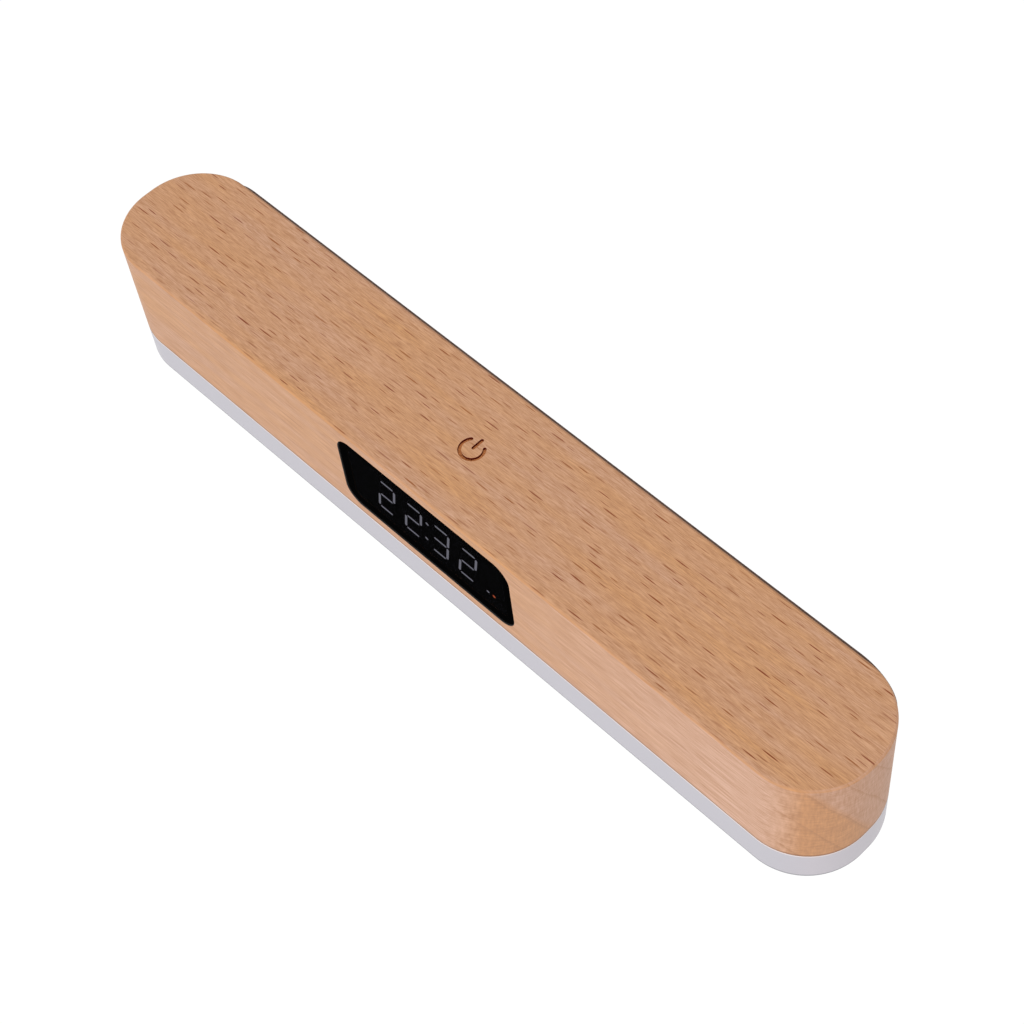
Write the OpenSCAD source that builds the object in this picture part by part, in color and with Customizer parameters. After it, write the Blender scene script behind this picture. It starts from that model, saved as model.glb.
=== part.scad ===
// Wall clock lamp: a beech bar with a clock window in its front, a touch mark on its top and a
// milky light bar underneath. Magnets in its back hold it on a steel plate that is taped to a wall.
// Millimetres. X runs along the bar, Y runs back to the wall, Z is up.
// The origin is the centre of the tape's back face, on the wall.

/* [Wooden body] */
// Length of the bar
body_l = 200; // [180:1:240]
// Depth of the bar, from its front to its back
body_d = 30; // [29:0.5:36]
// Height of the wooden part
wood_h = 26; // [25.5:0.5:31]
// Radius of the upright corners
corner_r = 14; // [11:0.5:14.4]
// Rounding of the wood's top edge
top_edge_r = 0.6; // [0.3:0.1:1.5]
// Rounding of the edges along the seam between wood and diffuser
seam_edge_r = 0.3; // [0.2:0.05:0.6]
// Wood left in front of the hollow
wall_front = 4.2; // [3.8:0.1:5]
// Wood left behind the hollow
wall_rear = 4.2; // [3.8:0.1:5]
// Wood left above the hollow
wall_top = 4; // [3:0.1:4.4]
// Wood left at each end of the hollow
wall_end = 10; // [10:0.5:16]
// Radius of the hollow's upright corners
hollow_r = 4; // [2:0.5:6]
// Wood left above the touch pad, under the touch mark
touch_wall = 2; // [1.2:0.1:2.6]

/* [Light bar] */
// Height of the diffuser that shows under the wood
diffuser_h = 9; // [7:0.5:14]
// Thickness of the diffuser's floor
diffuser_floor = 2; // [1.5:0.1:3]
// Rounding of the diffuser's bottom edge
diffuser_edge_r = 1.2; // [0.5:0.1:2]
// Width of the wood's rim outside the diffuser's skirt
rim_w = 3; // [2.4:0.1:3.4]
// Thickness of the skirt that plugs into the wood
skirt_t = 1.2; // [0.9:0.1:1.6]
// Height of the skirt
skirt_h = 4; // [3.2:0.1:4.2]
// Thickness of the chassis plate
chassis_t = 2; // [1.6:0.1:2.4]
// Room between the ends of the light strip's board and the ends of the lamp
strip_room = 12; // [10:0.5:20]
// Width of the light strip's board
strip_w = 10; // [9.5:0.5:14]
// Thickness of the light strip's board
strip_t = 1; // [0.8:0.1:1.6]
// Number of emitters on the light strip
emitter_count = 24; // [16:2:26]

/* [Clock window] */
// Width of the smoked lens
lens_w = 48; // [44:0.5:50]
// Height of the smoked lens
lens_h = 20.5; // [18:0.5:21]
// Corner radius of the lens
lens_r = 4; // [2.5:0.5:6]
// Thickness of the lens
lens_t = 1; // [0.8:0.1:2]
// Depth of the lens face below the wood
lens_recess = 0.2; // [0.1:0.1:0.6]
// Width of the wooden seat behind the lens edge
lens_seat = 2; // [1.5:0.1:2.4]
// Height of a digit, between the middles of its top and bottom strokes
digit_h = 10.1; // [8:0.1:11]
// Width of a digit, between the middles of its side strokes
digit_w = 4.2; // [4:0.1:5.4]
// Spacing of the digits
digit_pitch = 7.7; // [7.4:0.1:8.4]
// Width of a stroke
stroke_w = 0.7; // [0.5:0.05:0.9]
// Lean of the digits, in degrees
digit_slant = 10; // [0:1:12]

/* [Electronics] */
// Diameter of the battery cell
cell_d = 18.2; // [16:0.1:18.4]
// Length of the battery cell
cell_l = 50; // [40:1:51]
// Length of the main board
board_l = 64; // [62:0.5:66]
// Thickness of the main board
board_t = 1.6; // [1:0.1:2]
// Height of the main board's posts above the chassis
post_h = 5; // [4.5:0.1:5.5]
// Diameter of the touch spring
spring_d = 7.4; // [5:0.2:8]
// Diameter of the touch spring's wire
spring_wire = 0.7; // [0.5:0.1:0.9]
// Turns of the touch spring
spring_turns = 7; // [4:1:8]

/* [Service panel] */
// Length of the panel in the back
panel_l = 50; // [47:1:56]
// Height of the panel
panel_h = 10; // [9.5:0.5:11]
// Thickness of the panel
panel_t = 1.6; // [1.4:0.1:1.8]
// Depth of the panel below the wood
panel_recess = 0.4; // [0.3:0.1:0.6]
// Diameter of a button
button_d = 5; // [4:0.1:5.4]
// Spacing of the buttons
button_pitch = 8.5; // [8:0.1:9]
// Travel of a button
button_travel = 0.5; // [0.3:0.05:0.6]

/* [Wall plate] */
// Thickness of the steel wall plate
plate_t = 0.8; // [0.6:0.1:2]
// Corner radius of the wall plate
plate_r = 9; // [4:0.5:11]
// Overhang of the plate past the ends of the flat back
plate_overhang = 6.5; // [1:0.5:10]
// Depth of the plate's long edges inside those of the wood
plate_drop = 1.1; // [0.5:0.1:3]
// Thickness of the mounting tape
tape_t = 1; // [0.4:0.1:1.5]
// Margin between the tape and the plate's edge
tape_margin = 4; // [3:0.5:8]
// Diameter of a magnet
magnet_d = 10; // [6:0.5:12]
// Thickness of a magnet
magnet_t = 3; // [2:0.1:3.2]
// Distance of the inner magnets from the middle
magnet_inner_x = 45; // [36:1:50]
// Distance of the outer magnets from the ends of the flat back
magnet_end = 11; // [9.5:0.5:21.5]

/* [Hidden] */
$fn = 64;

// Clearances between pieces, and the overrun of a cut past the face that it opens
fit_gap = 0.15;
bond_gap = 0.1;
slide_gap = 0.12;
thread_gap = 0.05;
touch_gap = 0.05;
screw_play = 0.3;
over = 1;

// Smallest radius of an inner corner, and the least flat between two rounded corners
least_r = 0.5;
least_flat = 0.5;

// Places across the lamp, from the wall to the front
back_y = -(tape_t + plate_t);
front_y = back_y - body_d;
mid_y = (back_y + front_y) / 2;
end_r = min(corner_r, (body_d - least_flat) / 2);
hollow_front_y = front_y + wall_front;
hollow_rear_y = back_y - wall_rear;

// Places up the lamp
wood_top = wood_h / 2;
wood_bot = -wood_h / 2;
hollow_top = wood_top - wall_top;
diffuser_bot = wood_bot - diffuser_h;
chassis_top = wood_bot + chassis_t;

// Seam between wood, skirt and chassis, as insets from the lamp's outside
skirt_out = rim_w + fit_gap;
skirt_in = skirt_out + skirt_t;
chassis_in = skirt_in + fit_gap;
groove_h = skirt_h + 2 * fit_gap;

// Beads on the skirt that snap into notches in the wood
bead_l = 8;
bead_h = 1;
bead_proud = 0.4;
bead_rise = 2.4;
bead_z = wood_bot + bead_rise;
bead_pitch = 60;
bead_xs = [for (k = [-1, 0, 1]) k * bead_pitch];

// Hollow of the wooden body
hollow_x = body_l / 2 - wall_end;
touch_pocket_d = 14;
touch_top = wood_top - touch_wall;

// Screws: shank diameters and lengths, then the head and its crossed drive as shares
chassis_screw_d = 2;
chassis_screw_l = 8;
strip_screw_d = 1.6;
strip_screw_l = strip_t + chassis_t - bond_gap;
clock_screw_d = 1.4;
clock_screw_l = 6.8;
board_screw_d = 1.6;
board_screw_l = 5.2;
head_d_share = 2;
head_t_share = 0.6;
drive_w_share = 0.18;
drive_l_share = 0.6;
drive_floor_share = 0.4;

// Chassis screws, in the wood beyond the hollow, with their heads sunk in the chassis
chassis_screw_x = (hollow_x + body_l / 2 - chassis_in) / 2;
chassis_screw_dy = 3;
head_sink = head_t_share * chassis_screw_d + bond_gap;
chassis_screw_reach = chassis_screw_l - (chassis_t - head_sink);

// Light strip
strip_l = body_l - 2 * strip_room;
strip_end = 4;
strip_r = 1.5;
emitter_pitch = (strip_l - 2 * strip_end) / emitter_count;
emitter_l = 2.8;
emitter_w = 3.5;
emitter_t = 0.7;
strip_screw_xs = [for (k = [-1, 0, 1]) k * emitter_pitch * floor(emitter_count / 3)];

// Clock window, its block of light channels and its board
lens_edge_r = 0.3;
window_w = lens_w - 2 * lens_seat;
window_h = lens_h - 2 * lens_seat;
window_r = max(lens_r - lens_seat, least_r);
lens_front_y = front_y + lens_recess;
lens_back_y = lens_front_y + lens_t;
lens_air = 0.1;
block_play = 0.3;
block_front_y = lens_back_y + lens_air;
block_flange_t = 3.4;
block_back_y = hollow_front_y + block_flange_t;
insert_t = 1.2;
clock_board_t = 1.2;
clock_board_back = block_back_y + clock_board_t;
clock_screw_out = 1.8;
clock_screw_x = lens_w / 2 + clock_screw_out;
clock_screw_z = 5;
clock_board_edge = 1.9;
clock_board_play = 0.5;
clock_board_w = 2 * (clock_screw_x + clock_board_edge);
clock_board_h = 2 * (hollow_top - clock_board_play);
clock_board_r = 1;
clock_screw_reach = clock_screw_l - (clock_board_back - hollow_front_y);

// Digits, colon and status lights, from the middle of the window
stroke_gap = 0.25;
digit_xs = [for (i = [0 : 3]) (i - 1.5) * digit_pitch];
colon_z = 3.1;
colon_r = 0.5;
status_r = 0.45;
status_z = -4.2;
status_pitch = 1.7;
status_inset = 2;
status_xs = [for (k = [0 : 2]) window_w / 2 - status_inset - k * status_pitch];
chip_l = 0.8;
chip_w = 0.4;
chip_t = 0.4;

// Main board, with its right end beside the charging socket
usb_x = 13;
board_side = 11.5;
board_gap = 1.4;
board_play = 0.5;
board_x1 = usb_x + board_side;
board_x0 = board_x1 - board_l;
board_bot = chassis_top + post_h;
board_top = board_bot + board_t;
board_front_y = clock_board_back + board_gap;
board_rear_y = hollow_rear_y - board_play;
board_mid_y = (board_front_y + board_rear_y) / 2;
post_d = 4.6;
post_inset = 3.4;
post_edge = 2.6;
post_floor = 1;
post_xs = [board_x0 + post_inset, board_x1 - post_inset];
post_ys = [board_front_y + post_edge, board_rear_y - post_edge];
pin_w = 0.4;
pin_pitch = 1.27;
pin_count = 12;
pin_x = -14;
pin_reach = 2.6;

// Parts on the main board: middle from the lamp's middle and the board's rear edge, then their size
board_parts = [
    [-14, -6.9, 10, 5, 1.8],
    [14.2, -9.8, 5, 4, 1.5],
    [-23.4, -7.5, 3, 6, 2.6],
    [8, -9.5, 5, 5, 3],
    [-6.6, -7, 2, 1.2, 0.8],
    [8, -5, 2, 1.2, 0.8]
];

// Touch pad and spring
pad_d = 12;
pad_t = 0.4;
pad_bot = touch_top - pad_t;
spring_bot = board_top + touch_gap;
spring_top = pad_bot - touch_gap;
spring_sides = 6;
spring_rings = 8;

// Battery on its saddles
cell_end_gap = 1.8;
cell_x1 = hollow_x - cell_end_gap;
cell_x0 = cell_x1 - cell_l;
saddle_floor = 0.8;
cell_z = chassis_top + saddle_floor + cell_d / 2;
saddle_t = 3;
saddle_gap = 0.8;
saddle_w = hollow_rear_y - hollow_front_y - 2 * saddle_gap;
saddle_drop = 3;
saddle_top = cell_z - saddle_drop;
saddle_inset = 10;
nub_d = 6;
nub_t = 1;
cell_edge_r = 0.8;
bead_groove_t = 1.2;
bead_groove_d = 0.5;
bead_groove_in = 3.6;
foam_gap = 0.1;
foam_l = 36;
foam_w = 8;

// Ribs on the chassis, between the hollow's left end and the main board
rib_w = 1.5;
rib_h = 3;
rib_dy = 7;
rib_inset = 6;
rib_x0 = -hollow_x + rib_inset;
rib_x1 = board_x0 - rib_inset;

// Leads, and their distance from the cell's middle where they pass beside it
lead_d = 1.3;
lead_sides = 8;
lead_steps = 4;
lead_gap = 0.2;
lead_bend = 1.5;
lead_run = 6;
lead_edge = 3;
lead_z = board_top + lead_d / 2 + lead_gap;
lead_dy = 1.2;
lead_off = cell_d / 2 + lead_d;
weld_off = 2.8;
strip_lead_out = 3;
strip_lead_x = board_x0 - strip_lead_out;
strip_lead_hole_d = 5;

// Charging socket
usb_w = 8.94;
usb_h = 3.26;
usb_l = 7.35;
usb_wall = 0.3;
usb_back = 1;
tongue_w = 6.6;
tongue_l = 4.6;
tongue_t = 0.7;
tab_w = 12;

// Service panel, its buttons and their switches
port_z = board_top + usb_h / 2;
port_h = 7.5;
port_r = 1;
panel_r = 3;
panel_seat = 2;
panel_face = back_y - panel_recess;
panel_back = panel_face - panel_t;
first_button_x = -15;
button_xs = [for (k = [0 : 2]) first_button_x + k * button_pitch];
button_proud = 0.2;
button_edge_r = 0.4;
flange_rim = 0.7;
flange_d = button_d + 2 * flange_rim;
flange_t = 0.8;
flange_y = panel_back - bond_gap - flange_t;
plunger_d = 2.4;
plunger_reach = 1.1;
switch_w = 6;
switch_d = 3.6;
switch_h = 4.2;
switch_gap = 0.4;
switch_face = flange_y - button_travel - switch_gap;
plunger_y = switch_face - plunger_reach;
plunger_room = 0.3;
plunger_hole_y = plunger_y - button_travel - plunger_room;

// Wall plate, tape and magnets
flat_l = body_l - 2 * end_r;
plate_l = flat_l + 2 * plate_overhang;
plate_h = wood_h - 2 * plate_drop;
plate_end_r = min(plate_r, (plate_h - least_flat) / 2);
tape_r = 2;
magnet_recess = 0.1;
magnet_front_y = back_y - magnet_recess - magnet_t;
magnet_outer_x = flat_l / 2 - magnet_end;
magnet_xs = [-magnet_outer_x, -magnet_inner_x, magnet_inner_x, magnet_outer_x];

// Flat outlines

// Rectangle with round corners, centred
module plan(l, d, r) {
    square([l - 2 * r, d], center = true);
    square([l, d - 2 * r], center = true);
    for (sx = [-1, 1], sy = [-1, 1])
        translate([sx * (l / 2 - r), sy * (d / 2 - r)]) circle(r);
}

// Slot with round ends, centred
module stadium(l, h) {
    square([l - h, h], center = true);
    for (s = [-1, 1])
        translate([s * (l - h) / 2, 0]) circle(d = h);
}

// Cross-section that stands on y = 0, with rounded bottom and top edges
module soft_section(w, h, bottom_r, top_r) {
    translate([-w / 2, bottom_r]) square([w, h - bottom_r - top_r]);
    translate([-w / 2 + top_r, h / 2]) square([w - 2 * top_r, h / 2]);
    translate([-w / 2 + bottom_r, 0]) square([w - 2 * bottom_r, h / 2]);
    for (s = [-1, 1]) {
        if (top_r > 0) translate([s * (w / 2 - top_r), h - top_r]) circle(top_r);
        if (bottom_r > 0) translate([s * (w / 2 - bottom_r), bottom_r]) circle(bottom_r);
    }
}

// Solids

// Plate with round corners that stands on z = 0, with rounded bottom and top edges
module soft_plate(l, d, r, h, bottom_r, top_r) {
    x = l / 2 - r;
    y = d / 2 - r;
    for (sx = [-1, 1], sy = [-1, 1])
        translate([sx * x, sy * y, 0]) soft_disc(2 * r, h, bottom_r, top_r);
    translate([-x, 0, 0]) rotate([90, 0, 90]) linear_extrude(2 * x) soft_section(d, h, bottom_r, top_r);
    translate([0, y, 0]) rotate([90, 0, 0]) linear_extrude(2 * y) soft_section(l, h, bottom_r, top_r);
}

// Disc that stands on z = 0, with rounded bottom and top edges
module soft_disc(d, h, bottom_r, top_r) {
    rotate_extrude() intersection() {
        soft_section(d, h, bottom_r, top_r);
        square([d / 2, h]);
    }
}

// Upright prism of the lamp's plan, drawn in from the lamp's outside by inset
module lamp_plan(inset, z0, z1) {
    translate([0, mid_y, z0]) linear_extrude(z1 - z0)
        plan(body_l - 2 * inset, body_d - 2 * inset, end_r - inset);
}

// The lamp's plan as a bar with rounded bottom and top edges
module lamp_bar(z0, z1, bottom_r, top_r) {
    translate([0, mid_y, z0]) soft_plate(body_l, body_d, end_r, z1 - z0, bottom_r, top_r);
}

// Stands a flat outline up, facing the front, between two depths
module upright(y0, y1, x = 0, z = 0) {
    translate([x, y1, z]) rotate([90, 0, 0]) linear_extrude(y1 - y0) children();
}

// Rod along Y between two depths
module rod_y(d, y0, y1, x, z) {
    translate([x, y0, z]) rotate([-90, 0, 0]) cylinder(d = d, h = y1 - y0);
}

// Upright hole through the thickness from z0 to z1
module hole_z(d, x, y, z0, z1) {
    translate([x, y, z0 - over]) cylinder(d = d, h = z1 - z0 + 2 * over);
}

// Pan-head screw with a crossed drive, its head's seat at z = 0 and its tip down
module pan_screw(d, l) {
    head_d = d * head_d_share;
    head_t = d * head_t_share;
    drive_w = head_d * drive_w_share;
    drive_l = head_d * drive_l_share;
    drive_floor = head_t * drive_floor_share;
    difference() {
        union() {
            translate([0, 0, -l]) cylinder(d = d, h = l);
            cylinder(d = head_d, h = head_t);
        }
        for (a = [0, 90])
            rotate([0, 0, a]) translate([-drive_l / 2, -drive_w / 2, drive_floor])
                cube([drive_l, drive_w, head_t]);
    }
}

// Tubes that follow a list of points

function unit(v) = v / norm(v);

// Point at t on the curve from b to c, with a before and d after them
function curve_point(a, b, c, d, t) =
    0.5 * (2 * b + (c - a) * t + (2 * a - 5 * b + 4 * c - d) * t ^ 2 + (3 * b - a - 3 * c + d) * t ^ 3);

// Smooth path through the points p, with a number of steps in each span
function smooth(p, steps) = concat(
    [for (i = [0 : len(p) - 2], k = [0 : steps - 1])
        curve_point(p[max(i - 1, 0)], p[i], p[i + 1], p[min(i + 2, len(p) - 1)], k / steps)],
    [p[len(p) - 1]]);

function tangents(p) =
    [for (i = [0 : len(p) - 1]) unit(p[min(i + 1, len(p) - 1)] - p[max(i - 1, 0)])];

// Normals carried along the tangents t without twist, from a first normal n
function normals(t, n, i = 0) =
    i == len(t) ? [] : let (m = unit(n - (n * t[i]) * t[i])) concat([m], normals(t, m, i + 1));

// Round tube along a path
module tube(path, d, sides, first_normal) {
    t = tangents(path);
    n = normals(t, first_normal);
    last = len(path) - 1;
    points = [for (i = [0 : last], k = [0 : sides - 1])
        path[i] + d / 2 * (cos(360 * k / sides) * n[i] + sin(360 * k / sides) * cross(t[i], n[i]))];
    walls = [for (i = [0 : last - 1], k = [0 : sides - 1])
        let (a = i * sides + k, b = i * sides + (k + 1) % sides)
        each [[a, a + sides, b], [b, a + sides, b + sides]]];
    first_cap = [for (k = [1 : sides - 2]) [0, k, k + 1]];
    last_cap = [for (k = [1 : sides - 2]) [last * sides, last * sides + k + 1, last * sides + k]];
    polyhedron(points, concat(walls, first_cap, last_cap));
}

// Clock face

// A point of a digit, leaned over
function lean(p) = [p.x + p.y * tan(digit_slant), p.y];

// Bar with pointed ends from a to b
function stroke(a, b) =
    let (u = unit(b - a), v = [-u.y, u.x], w = stroke_w / 2)
    [a, a + w * (u + v), b + w * (v - u), b, b - w * (u + v), a + w * (u - v)];

// Strokes of one digit that lie flat: top, middle and bottom
flat_strokes = [for (z = [digit_h / 2, 0, -digit_h / 2])
    stroke([-digit_w / 2 + stroke_gap, z], [digit_w / 2 - stroke_gap, z])];

// Strokes of one digit that stand: the two halves of the left side and of the right side
standing_strokes = [for (x = [-digit_w / 2, digit_w / 2], s = [-1, 1])
    stroke([x, s * (digit_h / 2 - stroke_gap)], [x, s * stroke_gap])];

colon_dots = [for (s = [-1, 1]) lean([0, s * colon_z])];
status_dots = [for (x = status_xs) [x, status_z]];

function stroke_middle(s) = lean((s[0] + s[3]) / 2);

module digit_outlines() {
    for (x = digit_xs, s = concat(flat_strokes, standing_strokes))
        translate([x, 0]) polygon([for (p = s) lean(p)]);
    for (p = colon_dots)
        translate(p) circle(colon_r);
}

module status_outlines() {
    for (p = status_dots)
        translate(p) circle(status_r);
}

// Places of the four clock screws, on which a child is set
module at_clock_screws(y) {
    for (x = [-clock_screw_x, clock_screw_x], z = [-clock_screw_z, clock_screw_z])
        translate([x, y, z]) rotate([-90, 0, 0]) children();
}

// Places of the four chassis screws
module at_chassis_screws(z) {
    for (x = [-chassis_screw_x, chassis_screw_x], s = [-1, 1])
        translate([x, mid_y + s * chassis_screw_dy, z]) children();
}

// Places of the four posts under the main board
module at_posts(z) {
    for (x = post_xs, y = post_ys)
        translate([x, y, z]) children();
}

// Sub-parts

module wooden_body() color("burlywood") difference() {
    lamp_bar(wood_bot, wood_top, seam_edge_r, top_edge_r);
    // Hollow, recess for the chassis and deeper groove for the skirt
    translate([0, (hollow_front_y + hollow_rear_y) / 2, wood_bot - over])
        linear_extrude(hollow_top - wood_bot + over)
        plan(2 * hollow_x, hollow_rear_y - hollow_front_y, hollow_r);
    lamp_plan(rim_w, wood_bot - over, chassis_top);
    difference() {
        lamp_plan(rim_w, wood_bot, wood_bot + groove_h);
        lamp_plan(chassis_in, wood_bot - over, wood_bot + groove_h + over);
    }
    // Notches for the beads of the skirt
    for (x = bead_xs, s = [-1, 1])
        translate([x, mid_y + s * (body_d / 2 - rim_w), bead_z])
            cube([bead_l + 2 * screw_play, 2 * (bead_proud + fit_gap), bead_h + 2 * fit_gap], center = true);
    // Clock window, with a rebate for the lens
    upright(front_y - over, lens_back_y)
        plan(lens_w + 2 * bond_gap, lens_h + 2 * bond_gap, lens_r + bond_gap);
    upright(front_y, hollow_front_y + over) plan(window_w, window_h, window_r);
    at_clock_screws(hollow_front_y - clock_screw_reach - screw_play)
        cylinder(d = clock_screw_d + 2 * thread_gap, h = clock_screw_reach + screw_play + over);
    // Pocket for the touch pad
    translate([0, mid_y, hollow_top - over]) cylinder(d = touch_pocket_d, h = touch_top - hollow_top + over);
    // Service panel, with a rebate for its edge
    upright(panel_back, back_y + over, 0, port_z)
        plan(panel_l + 2 * bond_gap, panel_h + 2 * bond_gap, panel_r + bond_gap);
    upright(hollow_rear_y - over, back_y, 0, port_z) plan(panel_l - 2 * panel_seat, port_h, port_r);
    // Magnet pockets and screw holes
    for (x = magnet_xs)
        rod_y(magnet_d + 2 * bond_gap, magnet_front_y, back_y + over, x, 0);
    at_chassis_screws(chassis_top - over)
        cylinder(d = chassis_screw_d + 2 * thread_gap, h = chassis_screw_reach + screw_play + over);
}

module diffuser() color("white") {
    difference() {
        union() {
            lamp_bar(diffuser_bot, wood_bot, diffuser_edge_r, seam_edge_r);
            lamp_plan(skirt_out, wood_bot - over, wood_bot + skirt_h);
        }
        lamp_plan(skirt_in, diffuser_bot + diffuser_floor, wood_bot + skirt_h + over);
    }
    for (x = bead_xs, s = [-1, 1])
        translate([x, mid_y + s * (body_d / 2 - skirt_out), bead_z])
            cube([bead_l, 2 * bead_proud, bead_h], center = true);
}

module chassis() color("whitesmoke") {
    difference() {
        lamp_plan(chassis_in, wood_bot, chassis_top);
        at_chassis_screws(wood_bot - over) {
            cylinder(d = chassis_screw_d + 2 * screw_play, h = chassis_t + 2 * over);
            cylinder(d = head_d_share * chassis_screw_d + 2 * screw_play, h = head_sink + over);
        }
        for (x = strip_screw_xs)
            hole_z(strip_screw_d + 2 * thread_gap, x, mid_y, wood_bot, chassis_top);
        hole_z(strip_lead_hole_d, strip_lead_x, board_mid_y, wood_bot, chassis_top);
    }
    // Posts under the main board
    at_posts(chassis_top) difference() {
        cylinder(d = post_d, h = post_h);
        translate([0, 0, post_floor]) cylinder(d = board_screw_d + 2 * thread_gap, h = post_h);
    }
    // Saddles under the cell
    for (x = [cell_x0 + saddle_inset, cell_x1 - saddle_inset])
        difference() {
            translate([x - saddle_t / 2, mid_y - saddle_w / 2, chassis_top])
                cube([saddle_t, saddle_w, saddle_top - chassis_top]);
            translate([x - saddle_t, mid_y, cell_z]) rotate([0, 90, 0])
                cylinder(d = cell_d + 2 * fit_gap, h = 2 * saddle_t);
        }
    // Ribs along the free end
    for (s = [-1, 1])
        translate([rib_x0, mid_y + s * rib_dy - rib_w / 2, chassis_top])
            cube([rib_x1 - rib_x0, rib_w, rib_h]);
}

module chassis_screws() color("silver")
    at_chassis_screws(wood_bot + head_sink) mirror([0, 0, 1]) pan_screw(chassis_screw_d, chassis_screw_l);

module strip_board() color("lightgray") difference() {
    translate([0, mid_y, wood_bot - strip_t]) linear_extrude(strip_t) plan(strip_l, strip_w, strip_r);
    for (x = strip_screw_xs)
        hole_z(strip_screw_d + 2 * screw_play, x, mid_y, wood_bot - strip_t, wood_bot);
}

module strip_emitters() color("lightyellow")
    for (k = [0 : emitter_count - 1])
        translate([(k - (emitter_count - 1) / 2) * emitter_pitch - emitter_l / 2,
                   mid_y - emitter_w / 2, wood_bot - strip_t - emitter_t])
            cube([emitter_l, emitter_w, emitter_t]);

module strip_screws() color("silver")
    for (x = strip_screw_xs)
        translate([x, mid_y, wood_bot - strip_t]) mirror([0, 0, 1]) pan_screw(strip_screw_d, strip_screw_l);

module display_lens() color("black")
    translate([0, lens_back_y, 0]) rotate([90, 0, 0])
        soft_plate(lens_w, lens_h, lens_r, lens_t, 0, lens_edge_r);

// Moulded block whose channels lead the light of each emitter to its stroke
module digit_block() color("dimgray") difference() {
    union() {
        upright(block_front_y, hollow_front_y + over)
            plan(window_w - 2 * block_play, window_h - 2 * block_play, window_r);
        upright(hollow_front_y, block_back_y) plan(clock_board_w, clock_board_h, clock_board_r);
    }
    upright(block_front_y - over, block_back_y + over) digit_outlines();
    upright(block_front_y - over, block_back_y + over) status_outlines();
    at_clock_screws(hollow_front_y - over)
        cylinder(d = clock_screw_d + 2 * screw_play, h = block_flange_t + 2 * over);
}

module digit_segments() color("gainsboro")
    upright(block_front_y, block_front_y + insert_t) digit_outlines();

module status_lights() color("salmon")
    upright(block_front_y, block_front_y + insert_t) status_outlines();

module clock_board() color("darkgreen") difference() {
    upright(block_back_y, clock_board_back) plan(clock_board_w, clock_board_h, clock_board_r);
    at_clock_screws(block_back_y - over)
        cylinder(d = clock_screw_d + 2 * screw_play, h = clock_board_t + 2 * over);
}

// Chip on the front of the clock board, of width w and height h
module clock_chip(middle, w, h) {
    translate([middle.x - w / 2, block_back_y - chip_t, middle.y - h / 2]) cube([w, chip_t, h]);
}

module segment_emitters() color("khaki") {
    for (x = digit_xs) {
        for (s = flat_strokes)
            clock_chip(stroke_middle(s) + [x, 0], chip_l, chip_w);
        for (s = standing_strokes)
            clock_chip(stroke_middle(s) + [x, 0], chip_w, chip_l);
    }
    for (p = concat(colon_dots, status_dots))
        clock_chip(p, chip_w, chip_w);
}

module clock_screws() color("silver")
    at_clock_screws(clock_board_back) pan_screw(clock_screw_d, clock_screw_l);

module header_pins() color("gold")
    for (k = [0 : pin_count - 1])
        translate([pin_x + (k - (pin_count - 1) / 2) * pin_pitch - pin_w / 2, clock_board_back, board_top])
            cube([pin_w, board_front_y - clock_board_back + pin_reach, pin_w]);

module main_board() color("seagreen") difference() {
    union() {
        translate([board_x0, board_front_y, board_bot])
            cube([board_l, board_rear_y - board_front_y, board_t]);
        // Tab under the charging socket
        translate([usb_x - tab_w / 2, board_rear_y - over, board_bot])
            cube([tab_w, panel_back - bond_gap - board_rear_y + over, board_t]);
    }
    at_posts(board_bot - over) cylinder(d = board_screw_d + 2 * screw_play, h = board_t + 2 * over);
}

module board_chips() color("darkslategray")
    for (b = board_parts)
        translate([b[0] - b[2] / 2, board_rear_y + b[1] - b[3] / 2, board_top]) cube([b[2], b[3], b[4]]);

module board_screws() color("silver")
    at_posts(board_top) pan_screw(board_screw_d, board_screw_l);

module touch_pad() color("peru")
    translate([0, mid_y, pad_bot]) cylinder(d = pad_d, h = pad_t);

// Coil from the main board up to the touch pad
module touch_spring() color("goldenrod") {
    steps = spring_rings * spring_turns;
    r = (spring_d - spring_wire) / 2;
    rise = spring_top - spring_bot - spring_wire;
    tube([for (k = [0 : steps])
            let (a = 360 * k * spring_turns / steps)
            [r * cos(a), mid_y + r * sin(a), spring_bot + spring_wire / 2 + rise * k / steps]],
        spring_wire, spring_sides, [0, 0, 1]);
}

// Cell with its crimped groove and its raised contact towards the main board
module battery_cell() color("royalblue")
    translate([cell_x1, mid_y, cell_z]) rotate([0, -90, 0]) {
        can_l = cell_l - nub_t;
        difference() {
            soft_disc(cell_d, can_l, cell_edge_r, cell_edge_r);
            translate([0, 0, can_l - bead_groove_in]) difference() {
                cylinder(d = cell_d + over, h = bead_groove_t);
                translate([0, 0, -over])
                    cylinder(d = cell_d - 2 * bead_groove_d, h = bead_groove_t + 2 * over);
            }
        }
        translate([0, 0, can_l]) cylinder(d = nub_d, h = nub_t);
    }

module battery_foam() color("dimgray")
    translate([(cell_x0 + cell_x1 - foam_l) / 2, mid_y - foam_w / 2, cell_z + cell_d / 2 + foam_gap])
        cube([foam_l, foam_w, hollow_top - cell_z - cell_d / 2 - foam_gap]);

// Point over the cell's upper rear side, off its middle line by a distance
function beside_cell(x, off) = [x, mid_y + off * sin(45), cell_z + off * cos(45)];

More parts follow.
